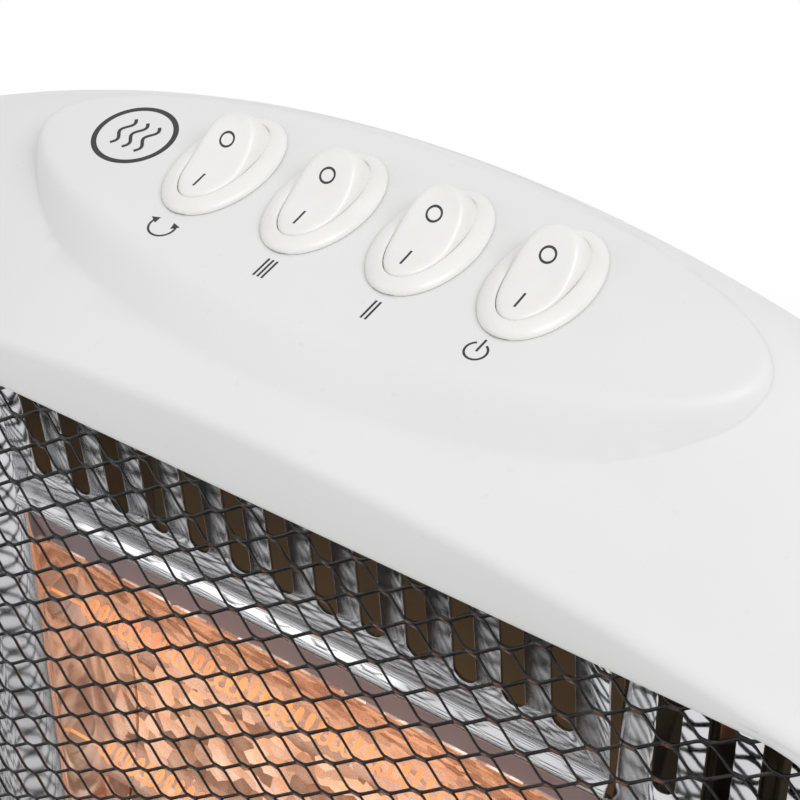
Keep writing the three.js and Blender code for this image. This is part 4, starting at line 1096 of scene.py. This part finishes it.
def fired_clay():
    """Unglazed steatite, grainy and a little stained."""
    made, shader, place = finish_of("fired_ceramic")
    grain = place.noise(900, 3)
    stain = place.noise(120, 3)
    feed(shader, Base_Color=(stain.step(0.45, 0.75) * 0.6).blend((0.76, 0.72, 0.64, 1), (0.60, 0.53, 0.43, 1)),
         Roughness=0.6 + grain * 0.2, Normal=grain.bump(0.00008, 0.4))
    return made


ceramic = fired_clay()
here = Matrix.Identity(4)
other_end = shifted(0, 2 * tube_y, 0) @ Matrix.Rotation(math.pi, 4, "Z")
tube_parts = [(tube, "tube", here, quartz_glass(), "quartz", "quartz_tube"),
              (coil, "coil", here, glowing_wire(), "heating_coil", "filament"),
              (cap, "end_cap_right", here, ceramic, "ceramic", "tube_cap_right"),
              (cap, "end_cap_left", other_end, ceramic, "ceramic", "tube_cap_left")]
for number, z in enumerate(tube_heights, 1):
    for original, name, turn, finish, slot, node in tube_parts:
        place = shifted(0, 0, z) @ turn
        dress(copied(original, f"{name}_{number}", place), finish, "head", slot, f"{node}_{number}")
removed(tube, coil, cap)

# ---------------- stand
# An oval dome of white plastic over a steel weight plate, on four rubber feet. The swivel column
# stands in its deck, and a grommet in its back wall marks where a cable would leave.

stand_levels = [(134, 97, 3), (136, 99, 7), (135, 98, 18), (125, 89, 31.2), (108, 76, 41), (90, 64, 46.5),
                (74, 54, 48)]
base_screws = [(x, y, 0) for y in (-45, 45) for x in (-95, 95)]
inlet_place = (0, 0, 17.5)


def between(values, i, t):
    """A smooth curve through the values, at a share of the step after number i."""
    p = [values[max(min(j, len(values) - 1), 0)] for j in (i - 1, i, i + 1, i + 2)]
    return 0.5 * (2 * p[1] + (p[2] - p[0]) * t + (2 * p[0] - 5 * p[1] + 4 * p[2] - p[3]) * t * t
                  + (3 * p[1] - p[0] - 3 * p[2] + p[3]) * t ** 3)


def stand_ring(width, depth, height, inset=0):
    return circle(width - inset, height, 128, (0, 0), (depth - inset) / (width - inset), 2.4)


stand_rings = [stand_ring(133.4, 96.4, 3), stand_ring(134, 97, 3.15)]
for i in range(len(stand_levels) - 1):
    stand_rings += [stand_ring(*(between([row[k] for row in stand_levels], i, step / 5) for k in range(3)))
                    for step in range(5) if i or step]
stand = drawn_out("stand_dome", stand_rings + [stand_ring(*stand_levels[-1])])
outer_copy = copied(stand, "outer", here)
stand_hollow = [(134, 97, 1), *((w, d, z - 0.2) for w, d, z in stand_levels[1:5]), (88, 62, 44.4), (72, 52, 45)]
stand_bosses = joined("bosses", posts("bosses", [(4, 8.3), (4, 47)], base_screws),
                      turned("inlet_boss", [(8.5, 86.5), (8.5, 102)], 40, inlet_place, "Y"))
modified(stand_bosses, "BOOLEAN", operation="INTERSECT", object=outer_copy, solver="EXACT")
removed(outer_copy)
cut(stand, drawn_out("hollow", [stand_ring(*row, wall) for row in stand_hollow]))
cut(stand, stand_bosses, operation="UNION")
cut(stand, turned("journal", [(26.5, 38), (26.5, 53)], 96),
    joined("bores", posts("bores", [(1.8, 0), (1.8, 20)], base_screws),
           turned("inlet", [(5.3, 70), (5.3, 93), (7, 93), (7, 113)], 48, inlet_place, "Y")))
dress(smooth(stand, 38), white_plastic, "stand", "housing", "stand_cover")

column_profile = [(18, 45), (26, 45), (26, 51.3), (35.4, 51.3), (36, 51.8), (36, 53.8), (35.6, 54.7),
                  (34.6, 55.5), (33, 56.6), (31.9, 57.8), (31.4, 59.2), (31, 62), (31, 69.7), (27.7, 69.7),
                  (27.7, 82), (18, 82)]
column = smooth(turned("swivel_neck", column_profile, 96, looped=True), 38)
bearing_profile = [(26.5, 48.3), (35.6, 48.3), (36, 48.6), (36, 50.6), (35.6, 51), (26.5, 51)]
bearing = smooth(turned("slide_ring", bearing_profile, 96, looped=True), 38)
dress(column, white_plastic, "head", "housing", "swivel_column")
natural_nylon = textured_plastic("natural_nylon", (0.50, 0.47, 0.40, 1), 0.42, 900, 0.00003)
dress(bearing, natural_nylon, "stand", "nylon", "swivel_bearing")

plate = drawn_out("base_plate", [stand_ring(130.9, 93.9, z, inset)
                                 for z, inset in ((6.0, 0.5), (6.4, 0), (7.6, 0), (8.0, 0.5))])
cut(plate, joined("holes", posts("holes", [(1.8, 0), (1.8, 20)], base_screws),
                  turned("tip_hole", [(4.3, 0), (4.3, 20)], 32, (-60, -10, 0))))
dress(smooth(plate, 40), zinc, "stand", "plated_steel", "weight_plate")


def rubber_finish():
    """Black rubber with a grey bloom."""
    made, shader, place = finish_of("black_rubber")
    bloom = place.noise(140, 3)
    grain = place.noise(1600, 2)
    feed(shader, Base_Color=bloom.step(0.4, 0.8).blend((0.018, 0.018, 0.019, 1), (0.045, 0.044, 0.043, 1)),
         Roughness=0.72 + grain * 0.2, Normal=grain.bump(0.00006, 0.4))
    return made


rubber = rubber_finish()
foot = smooth(turned("foot", [(2.2, 1.1), (3.4, 0.9), (4, 0), (8.4, 0), (9.2, 0.35), (9.5, 1.1), (9.5, 4.6),
                              (9.2, 5.4), (8.8, 5.7), (0.5, 5.7)], 48))
for corner, x, y in (("front_left", -82, -66), ("front_right", 82, -66), ("rear_left", -82, 66),
                     ("rear_right", 82, 66)):
    dress(copied(foot, f"rubber_foot_{corner}", shifted(x, y, 0)), rubber, "stand", "rubber", f"foot_{corner}")
removed(foot)
stand_screw = cross_screw("stand_screw", 3.4, 1.5, 18, 2.2)
for number, (x, y, _) in enumerate(base_screws, 1):
    at = shifted(x, y, 2.4) @ Matrix.Rotation(math.pi, 4, "X")
    dress(smooth(copied(stand_screw, f"base_screw_{number}", at)), zinc, "stand", "plated_steel",
          f"stand_screw_{number}")
removed(stand_screw)
grommet = turned("grommet", [(3, 84.2), (6.2, 84.2), (6.6, 84.6), (6.6, 86.2), (5, 86.2), (5, 93.3), (6.6, 93.3),
                             (6.6, 94.7), (6.3, 95.3), (5.6, 95.7), (3.4, 95.7), (3, 95.3)], 48, inlet_place,
                 "Y", True)
dress(smooth(grommet, 38), rubber, "stand", "rubber", "cable_inlet")

# ---------------- works inside
# The pieces inside keep the frame's shapes: heat shield, cut-out, terminals, clamp ring, arm,
# crank, motor and tip-over switch. Each gets its own finish; the heat shield's has a painted glow.


def scaled_steel_painted_glow():
    """Aluminised sheet browned by heat, with a painted glow of the tubes' light that is brighter low down."""
    made, shader, place = finish_of("heat_stained_steel_painted_glow", Metallic=0.4, Emission_Strength=1.0)
    stain = place.noise(35, 4)
    fine = place.noise(900, 2)
    feed(shader, Base_Color=stain.step(0.35, 0.7).blend((0.09, 0.085, 0.055, 1), (0.16, 0.14, 0.09, 1)),
         # Painted light: a faint warm emission stands in for the tubes' light on the shield, brighter at the bottom
         # than at the top.
         Emission_Color=place.axis(2).step(0.26, 0.335).blend((0.028, 0.023, 0.015, 1),
                                                              (0.0115, 0.0115, 0.008, 1)),
         Roughness=0.48 + stain * 0.2, Normal=fine.bump(0.00003, 0.3))
    return made


inner_finishes = {
    "heat_shield": scaled_steel_painted_glow(), "thermal_cut_out": zinc, "terminal_block": ceramic,
    "clamp_ring": black_plastic, "yoke_arm": zinc, "crank": natural_nylon, "gear_motor": zinc,
    "tip_switch": black_plastic, "tip_plunger": natural_nylon}
for node, finish in inner_finishes.items():
    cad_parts[node].data.materials.clear()
    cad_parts[node].data.materials.append(finish)
